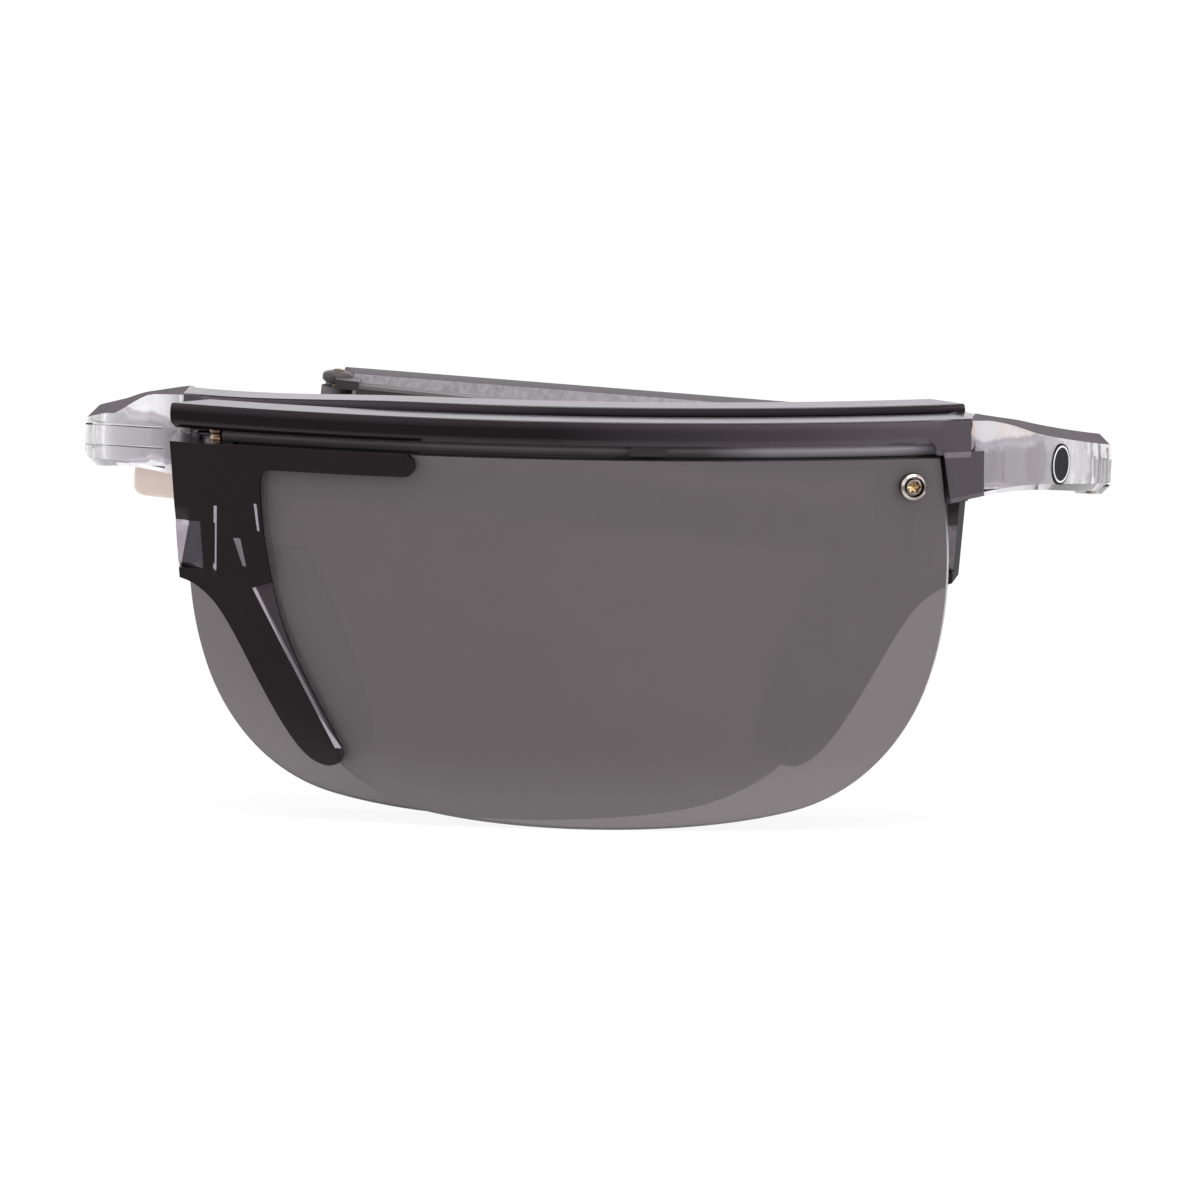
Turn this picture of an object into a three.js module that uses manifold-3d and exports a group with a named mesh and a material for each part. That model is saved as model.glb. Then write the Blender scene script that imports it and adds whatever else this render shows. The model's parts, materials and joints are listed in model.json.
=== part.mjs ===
// Folding sunglasses, shown folded. Two semi-rimless half fronts nest one behind the other and slide
// apart on curved rails that share one upright axis. Each temple folds in at its hinge, and folds in
// half again at a knuckle in its middle.
// Millimetres, +Z up, +Y away from the viewer, +X to the viewer's right.
import * as THREE from "three";
import { mergeVertices } from "three/addons/utils/BufferGeometryUtils.js";
import Module from "manifold-3d";

const wasm = await Module();
wasm.setup();

// Half fronts
const FRONT_RADIUS = 92; // front face of the front lens
const NEST_STEP = 6; // from the front lens back to the rear lens
const FRONT_SHIFT = 0.96; // front half's place along the rails at rest, in degrees
const LENS_THICKNESS = 2;
const LENS_TOP = 32.8; // height of the lens above its lowest point
const LENS_TEMPORAL = 32.6; // middle plane to the temporal top corner
const LENS_NASAL = 29.6; // middle plane to the nasal edge in its groove
const BROW_NASAL_END = 35.6; // middle plane to the nasal end of the brow bar
const BROW_HEIGHT = 2.2;
const BROW_FLANGE = 1.3; // height of the bar above its rail channel
const BROW_LIP = 1.2; // depth of the lip in front of the channel
const BROW_PROUD = 0.7; // bar in front of the lens face
const BROW_BACK = 3.3; // bar behind the lens face
const BROW_LINE = 0.3; // width and depth of the line along the bar's face
const SLOT_HEIGHT = 1.3; // open slot between lens and bar
const BACK_DEPTH = 4.3; // deepest point of carrier, pad and tab behind the lens face
const CHEEK_WIDTH = 2.2;
const CHEEK_RISE = 0.9; // foot of the cheek above the foot of the lens tab
const SLOT_INSET = 0.7; // end of the slot from the lens's temporal top corner
const LENS_BULGE = 0.65; // side of the lens beyond its temporal top corner

// Nose carrier and pad
const CARRIER_PROUD = 0.95; // carrier in front of the lens face
const CARRIER_BASE = 20.9; // foot of the carrier's block
const TONGUE_END = 13.3; // middle plane to the round end of the tongue
const TONGUE_HEIGHT = 2;
const TONGUE_FILLET = 1;
const ARM_INSET = 2.3; // nose arm's inner edge from the lens's nasal edge
const ARM_SWEEP = 7.7; // arm's tip from its top, towards the middle
const BLOCK_TAPER = 1; // foot of the block from the nasal end of the bar
const NOSE_TIP = 5; // lowest point of the nose arm

// Rails and their link
const RAIL_RADIUS = 0.4;
const RAIL_BACK = 1.9; // rail behind the lens face
const RAIL_HEIGHT = 0.8; // rail above the lens top
const RAIL_SEAT = 1.2; // rail's hold in the cheek
const POST_RADIUS = 0.6;
const POST_INSET = 4; // bridge screw from the nasal end of the bar
const POST_HOLD = 2; // length of the bridge screw in the carrier
const LINK_ANGLE = 5; // degrees from the middle to each slider
const SLIDER_ANGLE = 1; // half length of a slider, in degrees
const SLIDER_WALL = 0.5;

// Lens screw
const SCREW_INSET = 2.4; // from the lens's temporal top corner
const SCREW_DROP = 2.4;
const SCREW_SHANK = 0.42;
const SCREW_HEAD = 0.8;
const SCREW_HEAD_HEIGHT = 0.45;
const BUSH_WALL = 0.33;
const BUSH_FLANGE = 1.3;
const BUSH_PROUD = 0.95;
const INSERT_WALL = 0.4;
const TAB_RADIUS = 2.4;
const TAB_RISE = 0.6; // tab's root above its round end

// Endpieces and hinges
const HINGE_X = 43.9;
const HINGE_Y = 31.6; // front half's hinge behind the front lens
const HINGE_Z = 28.5;
const HINGE_HEIGHT = 5.2;
const HINGE_RADIUS = 2;
const HINGE_BARREL = 2; // height of the temple's barrel between the two lugs
const HINGE_PIN = 0.55;
const HINGE_HEAD = 1;
const HINGE_HEAD_HEIGHT = 0.5;
const ENDPIECE_THICKNESS = 3.4;
const ENDPIECE_LAP = 0.4; // endpiece's root inside the cheek
const ENDPIECE_CORNER = 0.5;
const ENDPIECE_ARCH = 1.5; // rise of its underside between cheek and hinge
const ROOT_PULL = [4.9, 2]; // handle of the endpiece's curve at the cheek
const HINGE_PULL = [0.9, 11.6]; // handle of the endpiece's curve at the hinge
const TEMPLE_SPREAD = 22.75; // open temple from straight back, in degrees
const BADGE_WIDTH = 2.6;
const BADGE_HEIGHT = 3.5;
const BADGE_DEPTH = 0.5;
const BADGE_PLACE = 0.6; // along the endpiece
const BADGE_RISE = 1.9; // above the hinge's middle

// Temples
const TEMPLE_TILT = 5.4; // slope of a folded temple, in degrees
const TEMPLE_THICKNESS = 2.4;
const TEMPLE_HEIGHT = 5.2; // at the hinge
const KNUCKLE_HEIGHT = 4.4;
const TEMPLE_FRONT_LENGTH = 67.5; // hinge to knuckle
const TEMPLE_REAR_LENGTH = 64.5; // knuckle to tip
const FOLD_GAP = 0.6; // between the two halves of a folded temple
const KNUCKLE_RADIUS = 1.4;
const KNUCKLE_BARREL = 1.5;
const FOLD_PIN = 0.5;
const REAR_DROP = 1.5; // slope of the rear half, in degrees
const TIP_DROP = 1.75; // step down to the soft tip
const TIP_STEP = 4.5; // length of that step
const TIP_LENGTH = 11.5;
const TIP_HEIGHT = 3.4;
const TIP_THICKNESS = 2.8;
const TIP_CORNER = 1.2;
const TANG_LENGTH = 8.5;
const TANG_HEIGHT = 1.6;
const TANG_THICKNESS = 1.2;
const RIGHT_DROP = 1.2; // right temple's middle line, below its hinge's middle
const RIGHT_FOLD_REST = 28; // right temple's rear half stands open by this much, in degrees

// Fits
const FIT = 0.3; // between seated pieces
const RUN = 0.2; // round a pin, screw or rail
const LAP = 0.5; // overlap of the parts that make up one moulding
const RING_STEPS = 120;

const Z_AXIS = new THREE.Vector3(0, 0, 1);
const CENTRE = new THREE.Vector3(0, FRONT_RADIUS, 0);
const BROW_BOTTOM = LENS_TOP + SLOT_HEIGHT;
const BROW_TOP = BROW_BOTTOM + BROW_HEIGHT;
const RAIL_Z = LENS_TOP + RAIL_HEIGHT;
const SCREW_X = LENS_TEMPORAL - SCREW_INSET;
const SCREW_Z = LENS_TOP - SCREW_DROP;
const SLOT_END = LENS_TEMPORAL - SLOT_INSET;
const CHEEK_RIGHT = LENS_TEMPORAL + CHEEK_WIDTH;
const CHEEK_BOTTOM = SCREW_Z - TAB_RADIUS + CHEEK_RISE;
const FOLD_OFFSET = TEMPLE_THICKNESS + FOLD_GAP;
const radians = THREE.MathUtils.degToRad;

// Solids

function facingOut(geometry) {
  const position = geometry.attributes.position;
  const index = geometry.index.array;
  const [a, b, c] = [new THREE.Vector3(), new THREE.Vector3(), new THREE.Vector3()];
  let volume = 0;
  for (let i = 0; i < index.length; i += 3) {
    a.fromBufferAttribute(position, index[i]);
    b.fromBufferAttribute(position, index[i + 1]);
    c.fromBufferAttribute(position, index[i + 2]);
    volume += a.dot(b.cross(c));
  }
  if (volume < 0) {
    index.reverse();
  }
  return geometry;
}

function solid(geometry) {
  geometry.deleteAttribute("normal");
  geometry.deleteAttribute("uv");
  const merged = facingOut(mergeVertices(geometry, 1e-5));
  return new wasm.Manifold(
    new wasm.Mesh({
      numProp: 3,
      vertProperties: Float32Array.from(merged.attributes.position.array),
      triVerts: Uint32Array.from(merged.index.array),
    }),
  );
}

function join(...solids) {
  return solids.reduce((whole, next) => whole.add(next));
}

function cut(body, ...tools) {
  return tools.reduce((rest, tool) => rest.subtract(tool), body);
}

function geometryOf(body) {
  const mesh = body.getMesh();
  const geometry = new THREE.BufferGeometry();
  geometry.setAttribute("position", new THREE.BufferAttribute(Float32Array.from(mesh.vertProperties), 3));
  geometry.setIndex(new THREE.BufferAttribute(Uint32Array.from(mesh.triVerts), 1));
  return geometry;
}

function placed(body, matrix) {
  return solid(geometryOf(body).applyMatrix4(matrix));
}

function ring(profile) {
  const points = [...profile, profile[0]].map(([r, z]) => new THREE.Vector2(r, z));
  const geometry = new THREE.LatheGeometry(points, RING_STEPS);
  return solid(geometry.rotateX(Math.PI / 2).translate(CENTRE.x, CENTRE.y, 0));
}

function band(inner, outer, bottom, top) {
  return ring([[inner, bottom], [outer, bottom], [outer, top], [inner, top]]);
}

// An outline in X and Z, cut right through in Y.
function facePrism(shape) {
  const options = { depth: FRONT_RADIUS, bevelEnabled: false, curveSegments: 10 };
  const geometry = new THREE.ExtrudeGeometry(shape, options);
  return solid(geometry.rotateX(Math.PI / 2).translate(0, FRONT_RADIUS - 2 * NEST_STEP, 0));
}

// An outline in X and Y, standing between two heights.
function planPrism(shape, bottom, top) {
  const options = { depth: top - bottom, bevelEnabled: false, curveSegments: 10 };
  return solid(new THREE.ExtrudeGeometry(shape, options).translate(0, 0, bottom));
}

function polygon(points) {
  return new THREE.Shape(points.map(([x, y]) => new THREE.Vector2(x, y)));
}

function box(x0, x1, y0, y1, z0, z1) {
  const geometry = new THREE.BoxGeometry(x1 - x0, y1 - y0, z1 - z0);
  return solid(geometry.translate((x0 + x1) / 2, (y0 + y1) / 2, (z0 + z1) / 2));
}

function rod(centre, axis, radius, from, to, sides = 24) {
  const geometry = new THREE.CylinderGeometry(radius, radius, to - from, sides);
  geometry.translate(0, (from + to) / 2, 0);
  const turn = new THREE.Quaternion().setFromUnitVectors(new THREE.Vector3(0, 1, 0), axis);
  return solid(geometry.applyQuaternion(turn).translate(centre.x, centre.y, centre.z));
}

function grown(shape, distance) {
  const points = shape.extractPoints(10).shape;
  const sense = THREE.ShapeUtils.isClockWise(points) ? -1 : 1;
  const moved = points.map((point, i) => {
    const before = points[(i + points.length - 1) % points.length];
    const after = points[(i + 1) % points.length];
    const into = point.clone().sub(before).normalize();
    const out = after.clone().sub(point).normalize();
    const normal = new THREE.Vector2(into.y + out.y, -into.x - out.x).normalize().multiplyScalar(sense);
    const square = Math.max(0.5, Math.abs(normal.dot(new THREE.Vector2(into.y, -into.x))));
    return point.clone().addScaledVector(normal, distance / square);
  });
  return new THREE.Shape(moved);
}

function loft(sections) {
  const count = sections[0].length;
  const vertices = sections.flat().flatMap((point) => point.toArray());
  const index = [];
  for (let s = 0; s + 1 < sections.length; s++) {
    for (let i = 0; i < count; i++) {
      const a = s * count + i;
      const b = s * count + ((i + 1) % count);
      index.push(a, b, b + count, a, b + count, a + count);
    }
  }
  const last = (sections.length - 1) * count;
  for (let i = 1; i + 1 < count; i++) {
    index.push(0, i + 1, i, last, last + i, last + i + 1);
  }
  const geometry = new THREE.BufferGeometry();
  geometry.setAttribute("position", new THREE.Float32BufferAttribute(vertices, 3));
  geometry.setIndex(index);
  return solid(geometry);
}

// Outlines of a half front, as seen from the front

// Control points of the lens are shares of its width to either side and of its height.
function lensOutline() {
  const shape = new THREE.Shape();
  const at = ([across, up]) => [across * (across < 0 ? LENS_NASAL : LENS_TEMPORAL), up * LENS_TOP];
  const curve = (...points) => shape.bezierCurveTo(...points.flatMap(at));
  shape.moveTo(...at([1, 1]));
  curve([1.03, 0.762], [1.03, 0.564], [0.972, 0.396]);
  curve([0.923, 0.244], [0.798, 0.088], [0.595, 0.046]);
  curve([0.337, -0.0137], [-0.101, -0.0137], [-0.389, 0.0335]);
  curve([-0.524, 0.056], [-0.652, 0.122], [-0.73, 0.207]);
  curve([-0.841, 0.329], [-0.966, 0.534], [-0.993, 0.732]);
  shape.lineTo(...at([-1, 1]));
  return shape;
}

// Points of the nose arm are shares of its sweep, and of its height up to the foot of the block.
function armPoint([across, up]) {
  const top = ARM_INSET - LENS_NASAL;
  return [top + across * ARM_SWEEP, NOSE_TIP + up * (CARRIER_BASE - NOSE_TIP)];
}

function carrierOutline() {
  const top = LENS_TOP + FIT / 2;
  const under = top - TONGUE_HEIGHT;
  const tongueRadius = TONGUE_HEIGHT / 2;
  const armTop = ARM_INSET - LENS_NASAL;
  const shape = new THREE.Shape();
  const curve = (...points) => shape.bezierCurveTo(...points.flatMap(armPoint));
  const foot = [BLOCK_TAPER - BROW_NASAL_END, CARRIER_BASE];
  shape.moveTo(-BROW_NASAL_END, top);
  shape.lineTo(-TONGUE_END - tongueRadius, top);
  const end = [-TONGUE_END - tongueRadius, top - tongueRadius, tongueRadius];
  shape.absarc(...end, Math.PI / 2, -Math.PI / 2, true);
  shape.lineTo(armTop + TONGUE_FILLET, under);
  shape.quadraticCurveTo(armTop, under, armTop, under - TONGUE_FILLET);
  curve([0, 1.32], [0.104, 1.07], [0.234, 0.836]);
  curve([0.403, 0.566], [0.753, 0.315], [1, 0.088]);
  curve([1.052, 0.031], [0.922, 0], [0.818, 0]);
  curve([0.584, 0.013], [0.429, 0.126], [0.299, 0.214]);
  curve([-0.026, 0.453], [-0.221, 0.667], [-0.429, 0.811]);
  shape.bezierCurveTo(...armPoint([-0.558, 0.906]), ...armPoint([-0.74, 0.981]), ...foot);
  return shape;
}

function padOutline() {
  const shape = new THREE.Shape();
  const curve = (...points) => shape.bezierCurveTo(...points.flatMap(armPoint));
  shape.moveTo(...armPoint([0.065, 1.19]));
  shape.lineTo(...armPoint([0.545, 1.17]));
  curve([0.883, 0.88], [1.18, 0.535], [1.31, 0.239]);
  curve([1.35, 0.1], [1.26, 0.019], [1.026, 0.013]);
  shape.lineTo(...armPoint([0.766, 0.025]));
  curve([0.532, 0.063], [0.39, 0.189], [0.26, 0.277]);
  curve([-0.039, 0.503], [-0.208, 0.679], [-0.39, 0.811]);
  return shape;
}

function tabOutline() {
  const shape = new THREE.Shape();
  shape.moveTo(SCREW_X, SCREW_Z + TAB_RADIUS);
  shape.absarc(SCREW_X, SCREW_Z, TAB_RADIUS, Math.PI / 2, -Math.PI / 2, false);
  shape.lineTo(CHEEK_RIGHT, SCREW_Z - TAB_RADIUS + TAB_RISE);
  shape.lineTo(CHEEK_RIGHT, SCREW_Z + TAB_RADIUS + TAB_RISE);
  return shape;
}

// Places on a half front. Each half is first made with its hinge to the right.

function onBand(radius, x, z) {
  return new THREE.Vector3(x, CENTRE.y - Math.sqrt(radius * radius - x * x), z);
}

function outwardAt(radius, x) {
  return new THREE.Vector3(x, -Math.sqrt(radius * radius - x * x), 0).normalize();
}

function hingePoint(radius) {
  return new THREE.Vector3(HINGE_X, HINGE_Y + FRONT_RADIUS - radius, HINGE_Z);
}

// Folded and open directions of a temple whose half front has its hinge to the right.
function templeFrames(tilt) {
  const t = radians(tilt);
  const b = radians(TEMPLE_SPREAD);
  const folded = [
    new THREE.Vector3(-Math.cos(t), 0, Math.sin(t)),
    new THREE.Vector3(0, 1, 0),
    new THREE.Vector3(Math.sin(t), 0, Math.cos(t)),
  ];
  const open = [
    new THREE.Vector3(Math.sin(b), Math.cos(b), 0),
    new THREE.Vector3(Math.cos(b), -Math.sin(b), 0),
    Z_AXIS.clone(),
  ];
  return { folded, open };
}

function hingeAxis(tilt) {
  const { folded, open } = templeFrames(tilt);
  const start = new THREE.Matrix4().makeBasis(...folded);
  const finish = new THREE.Matrix4().makeBasis(...open);
  const turn = new THREE.Quaternion().setFromRotationMatrix(finish.multiply(start.transpose()));
  const axis = new THREE.Vector3(turn.x, turn.y, turn.z).normalize();
  return axis.z < 0 ? axis.negate() : axis;
}

function endpieceCurve(radius) {
  const start = onBand(radius - (BACK_DEPTH - BROW_PROUD) / 2, CHEEK_RIGHT - ENDPIECE_LAP, 0);
  const end = hingePoint(radius).setZ(0);
  const control1 = start.clone().add(new THREE.Vector3(...ROOT_PULL, 0));
  const control2 = end.clone().sub(new THREE.Vector3(...HINGE_PULL, 0));
  return new THREE.CubicBezierCurve3(start, control1, control2, end);
}

// Pieces of a half front

function chamferedSection(centre, across, width, bottom, top) {
  const corner = Math.min(ENDPIECE_CORNER, width / 4);
  const half = width / 2;
  const outline = [
    [-half, bottom + corner], [-half + corner, bottom], [half - corner, bottom], [half, bottom + corner],
    [half, top - corner], [half - corner, top], [-half + corner, top], [-half, top - corner],
  ];
  return outline.map(([w, z]) => centre.clone().addScaledVector(across, w).setZ(z));
}

function endpiece(radius) {
  const curve = endpieceCurve(radius);
  const startThickness = BACK_DEPTH + BROW_PROUD;
  const stations = 9;
  const sections = Array.from({ length: stations }, (_, i) => {
    const t = i / (stations - 1);
    const ease = THREE.MathUtils.smoothstep(t, 0, 1);
    const tangent = curve.getTangent(t);
    const across = new THREE.Vector3(tangent.y, -tangent.x, 0);
    const width = THREE.MathUtils.lerp(startThickness, ENDPIECE_THICKNESS, Math.min(1, 2 * t));
    const arch = ENDPIECE_ARCH * Math.sqrt(Math.abs(Math.sin(Math.PI * t)));
    const bottom = THREE.MathUtils.lerp(CHEEK_BOTTOM, HINGE_Z - HINGE_HEIGHT / 2, ease) + arch;
    const top = THREE.MathUtils.lerp(BROW_TOP, HINGE_Z + HINGE_HEIGHT / 2, ease);
    return chamferedSection(curve.getPoint(t), across, width, bottom, top);
  });
  return loft(sections);
}

function badgeRod(radius, width, height, from, to) {
  const curve = endpieceCurve(radius);
  const tangent = curve.getTangent(BADGE_PLACE);
  const across = new THREE.Vector3(tangent.y, -tangent.x, 0);
  const ellipse = new THREE.Shape().absellipse(0, 0, width / 2, height / 2, 0, 2 * Math.PI, false);
  const options = { depth: to - from, bevelEnabled: false, curveSegments: 16 };
  const geometry = new THREE.ExtrudeGeometry(ellipse, options).translate(0, 0, from);
  const centre = curve.getPoint(BADGE_PLACE).setZ(HINGE_Z + BADGE_RISE);
  const basis = new THREE.Matrix4().makeBasis(tangent, Z_AXIS, across).setPosition(centre);
  return solid(geometry.applyMatrix4(basis));
}

function browFrame(radius, tilt, hasBadge) {
  const front = radius + BROW_PROUD;
  const back = radius - BROW_BACK;
  const ceiling = BROW_TOP - BROW_FLANGE;
  const line = BROW_TOP - BROW_HEIGHT / 3;
  const bar = ring([
    [back, ceiling], [front - BROW_LIP, ceiling], [front - BROW_LIP, BROW_BOTTOM], [front, BROW_BOTTOM],
    [front, line - BROW_LINE], [front - BROW_LINE, line - BROW_LINE], [front - BROW_LINE, line],
    [front, line], [front, BROW_TOP], [back, BROW_TOP],
  ]);
  const reach = 2 * FRONT_RADIUS;
  const nasal = new THREE.Vector3(-BROW_NASAL_END, onBand(radius, BROW_NASAL_END, 0).y, 0).sub(CENTRE);
  const temporal = onBand(radius, CHEEK_RIGHT, 0).sub(CENTRE);
  const sector = [CENTRE, ...[nasal, temporal].map((p) => p.setLength(reach).add(CENTRE))];
  const wedge = planPrism(polygon(sector.map((p) => [p.x, p.y])), 0, 2 * BROW_TOP);
  const cheekLeft = LENS_TEMPORAL + LENS_BULGE + FIT;
  const webShape = polygon([[SLOT_END, LENS_TOP + FIT], [CHEEK_RIGHT, LENS_TOP + FIT],
    [CHEEK_RIGHT, BROW_TOP], [SLOT_END, BROW_TOP]]);
  const web = facePrism(webShape).intersect(band(back, front, LENS_TOP, BROW_TOP));
  const cheekShape = polygon([[cheekLeft, CHEEK_BOTTOM], [CHEEK_RIGHT, CHEEK_BOTTOM],
    [CHEEK_RIGHT, BROW_TOP], [cheekLeft, BROW_TOP]]);
  const cheek = facePrism(cheekShape).intersect(band(radius - BACK_DEPTH, front, 0, BROW_TOP));
  const tabFront = radius - LENS_THICKNESS - FIT;
  const tab = facePrism(tabOutline()).intersect(band(radius - BACK_DEPTH, tabFront, 0, BROW_TOP));
  const hinge = hingePoint(radius);
  const axis = hingeAxis(tilt);
  const half = HINGE_HEIGHT / 2;
  const whole = join(bar.intersect(wedge), web, cheek, tab, endpiece(radius),
    rod(hinge, axis, HINGE_RADIUS, -half, half));
  const barrelGap = HINGE_BARREL / 2 + FIT;
  const screwAt = onBand(radius, SCREW_X, SCREW_Z);
  const screwAxis = outwardAt(radius, SCREW_X);
  const insertRadius = SCREW_SHANK + RUN + INSERT_WALL;
  const pocket = badgeRod(radius, BADGE_WIDTH, BADGE_HEIGHT, ENDPIECE_THICKNESS / 2 - BADGE_DEPTH,
    ENDPIECE_THICKNESS);
  const cuts = [
    rod(hinge, axis, HINGE_RADIUS + FIT, -barrelGap, barrelGap),
    rod(hinge, axis, HINGE_PIN + RUN, -2 * half, 2 * half),
    rod(hinge, axis, HINGE_HEAD + RUN, half - HINGE_HEAD_HEIGHT - RUN, 2 * half),
    rod(screwAt, screwAxis, insertRadius + RUN, -2 * BACK_DEPTH, 0),
    railBand(radius, RAIL_RADIUS + RUN, railStart(radius), railEnd(radius) + FIT),
    rod(postPoint(radius), Z_AXIS, POST_RADIUS + RUN, 0, BROW_TOP - FIT),
  ];
  return cut(whole, ...cuts, ...(hasBadge ? [pocket] : []));
}

function lens(radius) {
  const sheet = band(radius - LENS_THICKNESS, radius, -1, LENS_TOP + 1);
  const screwAt = onBand(radius, SCREW_X, SCREW_Z);
  const bore = SCREW_SHANK + RUN + BUSH_WALL + RUN;
  const hole = rod(screwAt, outwardAt(radius, SCREW_X), bore, -2 * LENS_THICKNESS, LENS_THICKNESS);
  return cut(facePrism(lensOutline()).intersect(sheet), hole);
}

function noseCarrier(radius) {
  const behind = radius - LENS_THICKNESS - FIT;
  const depth = band(radius - BACK_DEPTH, radius + CARRIER_PROUD, 0, LENS_TOP + 1);
  const lensPocket = facePrism(grown(lensOutline(), FIT)).intersect(
    band(radius - 2 * BACK_DEPTH, radius + FIT, -1, LENS_TOP + 1));
  const padRoom = facePrism(grown(padOutline(), FIT)).intersect(
    band(radius - 2 * BACK_DEPTH, behind, 0, LENS_TOP));
  const hole = rod(postPoint(radius), Z_AXIS, POST_RADIUS + RUN, LENS_TOP - POST_HOLD - FIT, BROW_TOP);
  return cut(facePrism(carrierOutline()).intersect(depth), lensPocket, padRoom, hole);
}

function nosePad(radius) {
  const front = radius - LENS_THICKNESS - 2 * FIT;
  return facePrism(padOutline()).intersect(band(radius - BACK_DEPTH, front, 0, LENS_TOP));
}

function lathed(profile, centre, axis) {
  const points = profile.map(([r, h]) => new THREE.Vector2(r, h));
  const geometry = new THREE.LatheGeometry(points, 20);
  const turn = new THREE.Quaternion().setFromUnitVectors(new THREE.Vector3(0, 1, 0), axis);
  return solid(geometry.applyQuaternion(turn).translate(centre.x, centre.y, centre.z));
}

function lensScrew(radius) {
  const tip = -BACK_DEPTH + FIT;
  const seat = BUSH_PROUD - SCREW_HEAD_HEIGHT;
  const profile = [
    [0, tip], [SCREW_SHANK, tip], [SCREW_SHANK, seat], [SCREW_HEAD, seat], [SCREW_HEAD, BUSH_PROUD],
    [SCREW_HEAD / 2, BUSH_PROUD], [SCREW_HEAD / 2, BUSH_PROUD - SCREW_HEAD_HEIGHT / 2],
    [0, BUSH_PROUD - SCREW_HEAD_HEIGHT / 2],
  ];
  return lathed(profile, onBand(radius, SCREW_X, SCREW_Z), outwardAt(radius, SCREW_X));
}

function lensBush(radius) {
  const bore = SCREW_SHANK + RUN;
  const sleeve = bore + BUSH_WALL;
  const seat = BUSH_PROUD - SCREW_HEAD_HEIGHT - RUN;
  const back = -LENS_THICKNESS;
  const profile = [
    [bore, back], [sleeve, back], [sleeve, RUN], [BUSH_FLANGE, RUN], [BUSH_FLANGE, BUSH_PROUD],
    [SCREW_HEAD + RUN, BUSH_PROUD], [SCREW_HEAD + RUN, seat], [bore, seat], [bore, back],
  ];
  return lathed(profile, onBand(radius, SCREW_X, SCREW_Z), outwardAt(radius, SCREW_X));
}

function lensInsert(radius) {
  const bore = SCREW_SHANK + RUN;
  const wall = bore + INSERT_WALL;
  const front = -LENS_THICKNESS - FIT;
  const back = -BACK_DEPTH + FIT / 2;
  const profile = [[bore, back], [wall, back], [wall, front], [bore, front], [bore, back]];
  return lathed(profile, onBand(radius, SCREW_X, SCREW_Z), outwardAt(radius, SCREW_X));
}

function postPoint(radius) {
  return onBand(radius - RAIL_BACK, POST_INSET - BROW_NASAL_END, 0);
}

function bridgeScrew(radius) {
  return rod(postPoint(radius), Z_AXIS, POST_RADIUS, LENS_TOP - POST_HOLD, BROW_TOP - 2 * FIT, 16);
}

// Angles along a half front, from its middle towards its hinge.
function railStart(radius) {
  const x = POST_INSET - BROW_NASAL_END + POST_RADIUS + RUN;
  return Math.asin(x / (radius - RAIL_BACK));
}

function railEnd(radius) {
  return Math.asin((SLOT_END + RAIL_SEAT) / (radius - RAIL_BACK));
}

function sectorWedge(from, to, bottom, top) {
  const reach = 2 * FRONT_RADIUS;
  const corner = (angle) => [reach * Math.sin(angle), CENTRE.y - reach * Math.cos(angle)];
  return planPrism(polygon([[CENTRE.x, CENTRE.y], corner(from), corner(to)]), bottom, top);
}

function railBand(radius, thickness, from, to) {
  const middle = radius - RAIL_BACK;
  const section = Array.from({ length: 8 }, (_, i) => {
    const angle = ((i + 0.5) * Math.PI) / 4;
    return [middle + thickness * Math.cos(angle), RAIL_Z + thickness * Math.sin(angle)];
  });
  return ring(section).intersect(sectorWedge(from, to, 0, 2 * BROW_TOP));
}

// The link that floats on both rails

function railLink() {
  const rear = FRONT_RADIUS - NEST_STEP;
  const frontRail = FRONT_RADIUS - RAIL_BACK;
  const rearRail = rear - RAIL_BACK;
  const bottom = LENS_TOP + FIT;
  const shelf = BROW_BOTTOM - FIT;
  const ceiling = BROW_TOP - BROW_FLANGE - RUN;
  const plateOuter = FRONT_RADIUS - BROW_BACK - FIT;
  const plateInner = rear + BROW_PROUD + FIT;
  const reach = RAIL_RADIUS + RUN + SLIDER_WALL;
  const angle = radians(LINK_ANGLE);
  const half = radians(SLIDER_ANGLE);
  const wedge = (from, to) => sectorWedge(from, to, 0, 2 * BROW_TOP);
  const frontWedge = wedge(angle - half, angle + half);
  const rearWedge = wedge(-angle - half, -angle + half);
  const behindLip = rear + BROW_PROUD - BROW_LIP - FIT;
  const pieces = [
    band(plateInner, plateOuter, bottom, ceiling).intersect(wedge(-angle - half, angle + half)),
    band(plateInner, frontRail + reach, bottom, ceiling).intersect(frontWedge),
    band(rearRail - reach, plateOuter, bottom, shelf).intersect(rearWedge),
    band(rearRail - reach, behindLip, bottom, ceiling).intersect(rearWedge),
  ];
  const bores = [[FRONT_RADIUS, angle], [rear, -angle]].map(([radius, at]) =>
    railBand(radius, RAIL_RADIUS + RUN, at - 2 * half, at + 2 * half));
  return cut(join(...pieces), ...bores);
}

// Temples, along x from the hinge, with y on the outer side and z up

function sideExtrusion(shape, thickness, middle) {
  const options = { depth: thickness, bevelEnabled: false, curveSegments: 6 };
  const geometry = new THREE.ExtrudeGeometry(shape, options);
  return solid(geometry.rotateX(Math.PI / 2).translate(0, middle + thickness / 2, 0));
}

function knucklePoint() {
  return new THREE.Vector3(TEMPLE_FRONT_LENGTH, FOLD_OFFSET / 2, 0);
}

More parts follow.
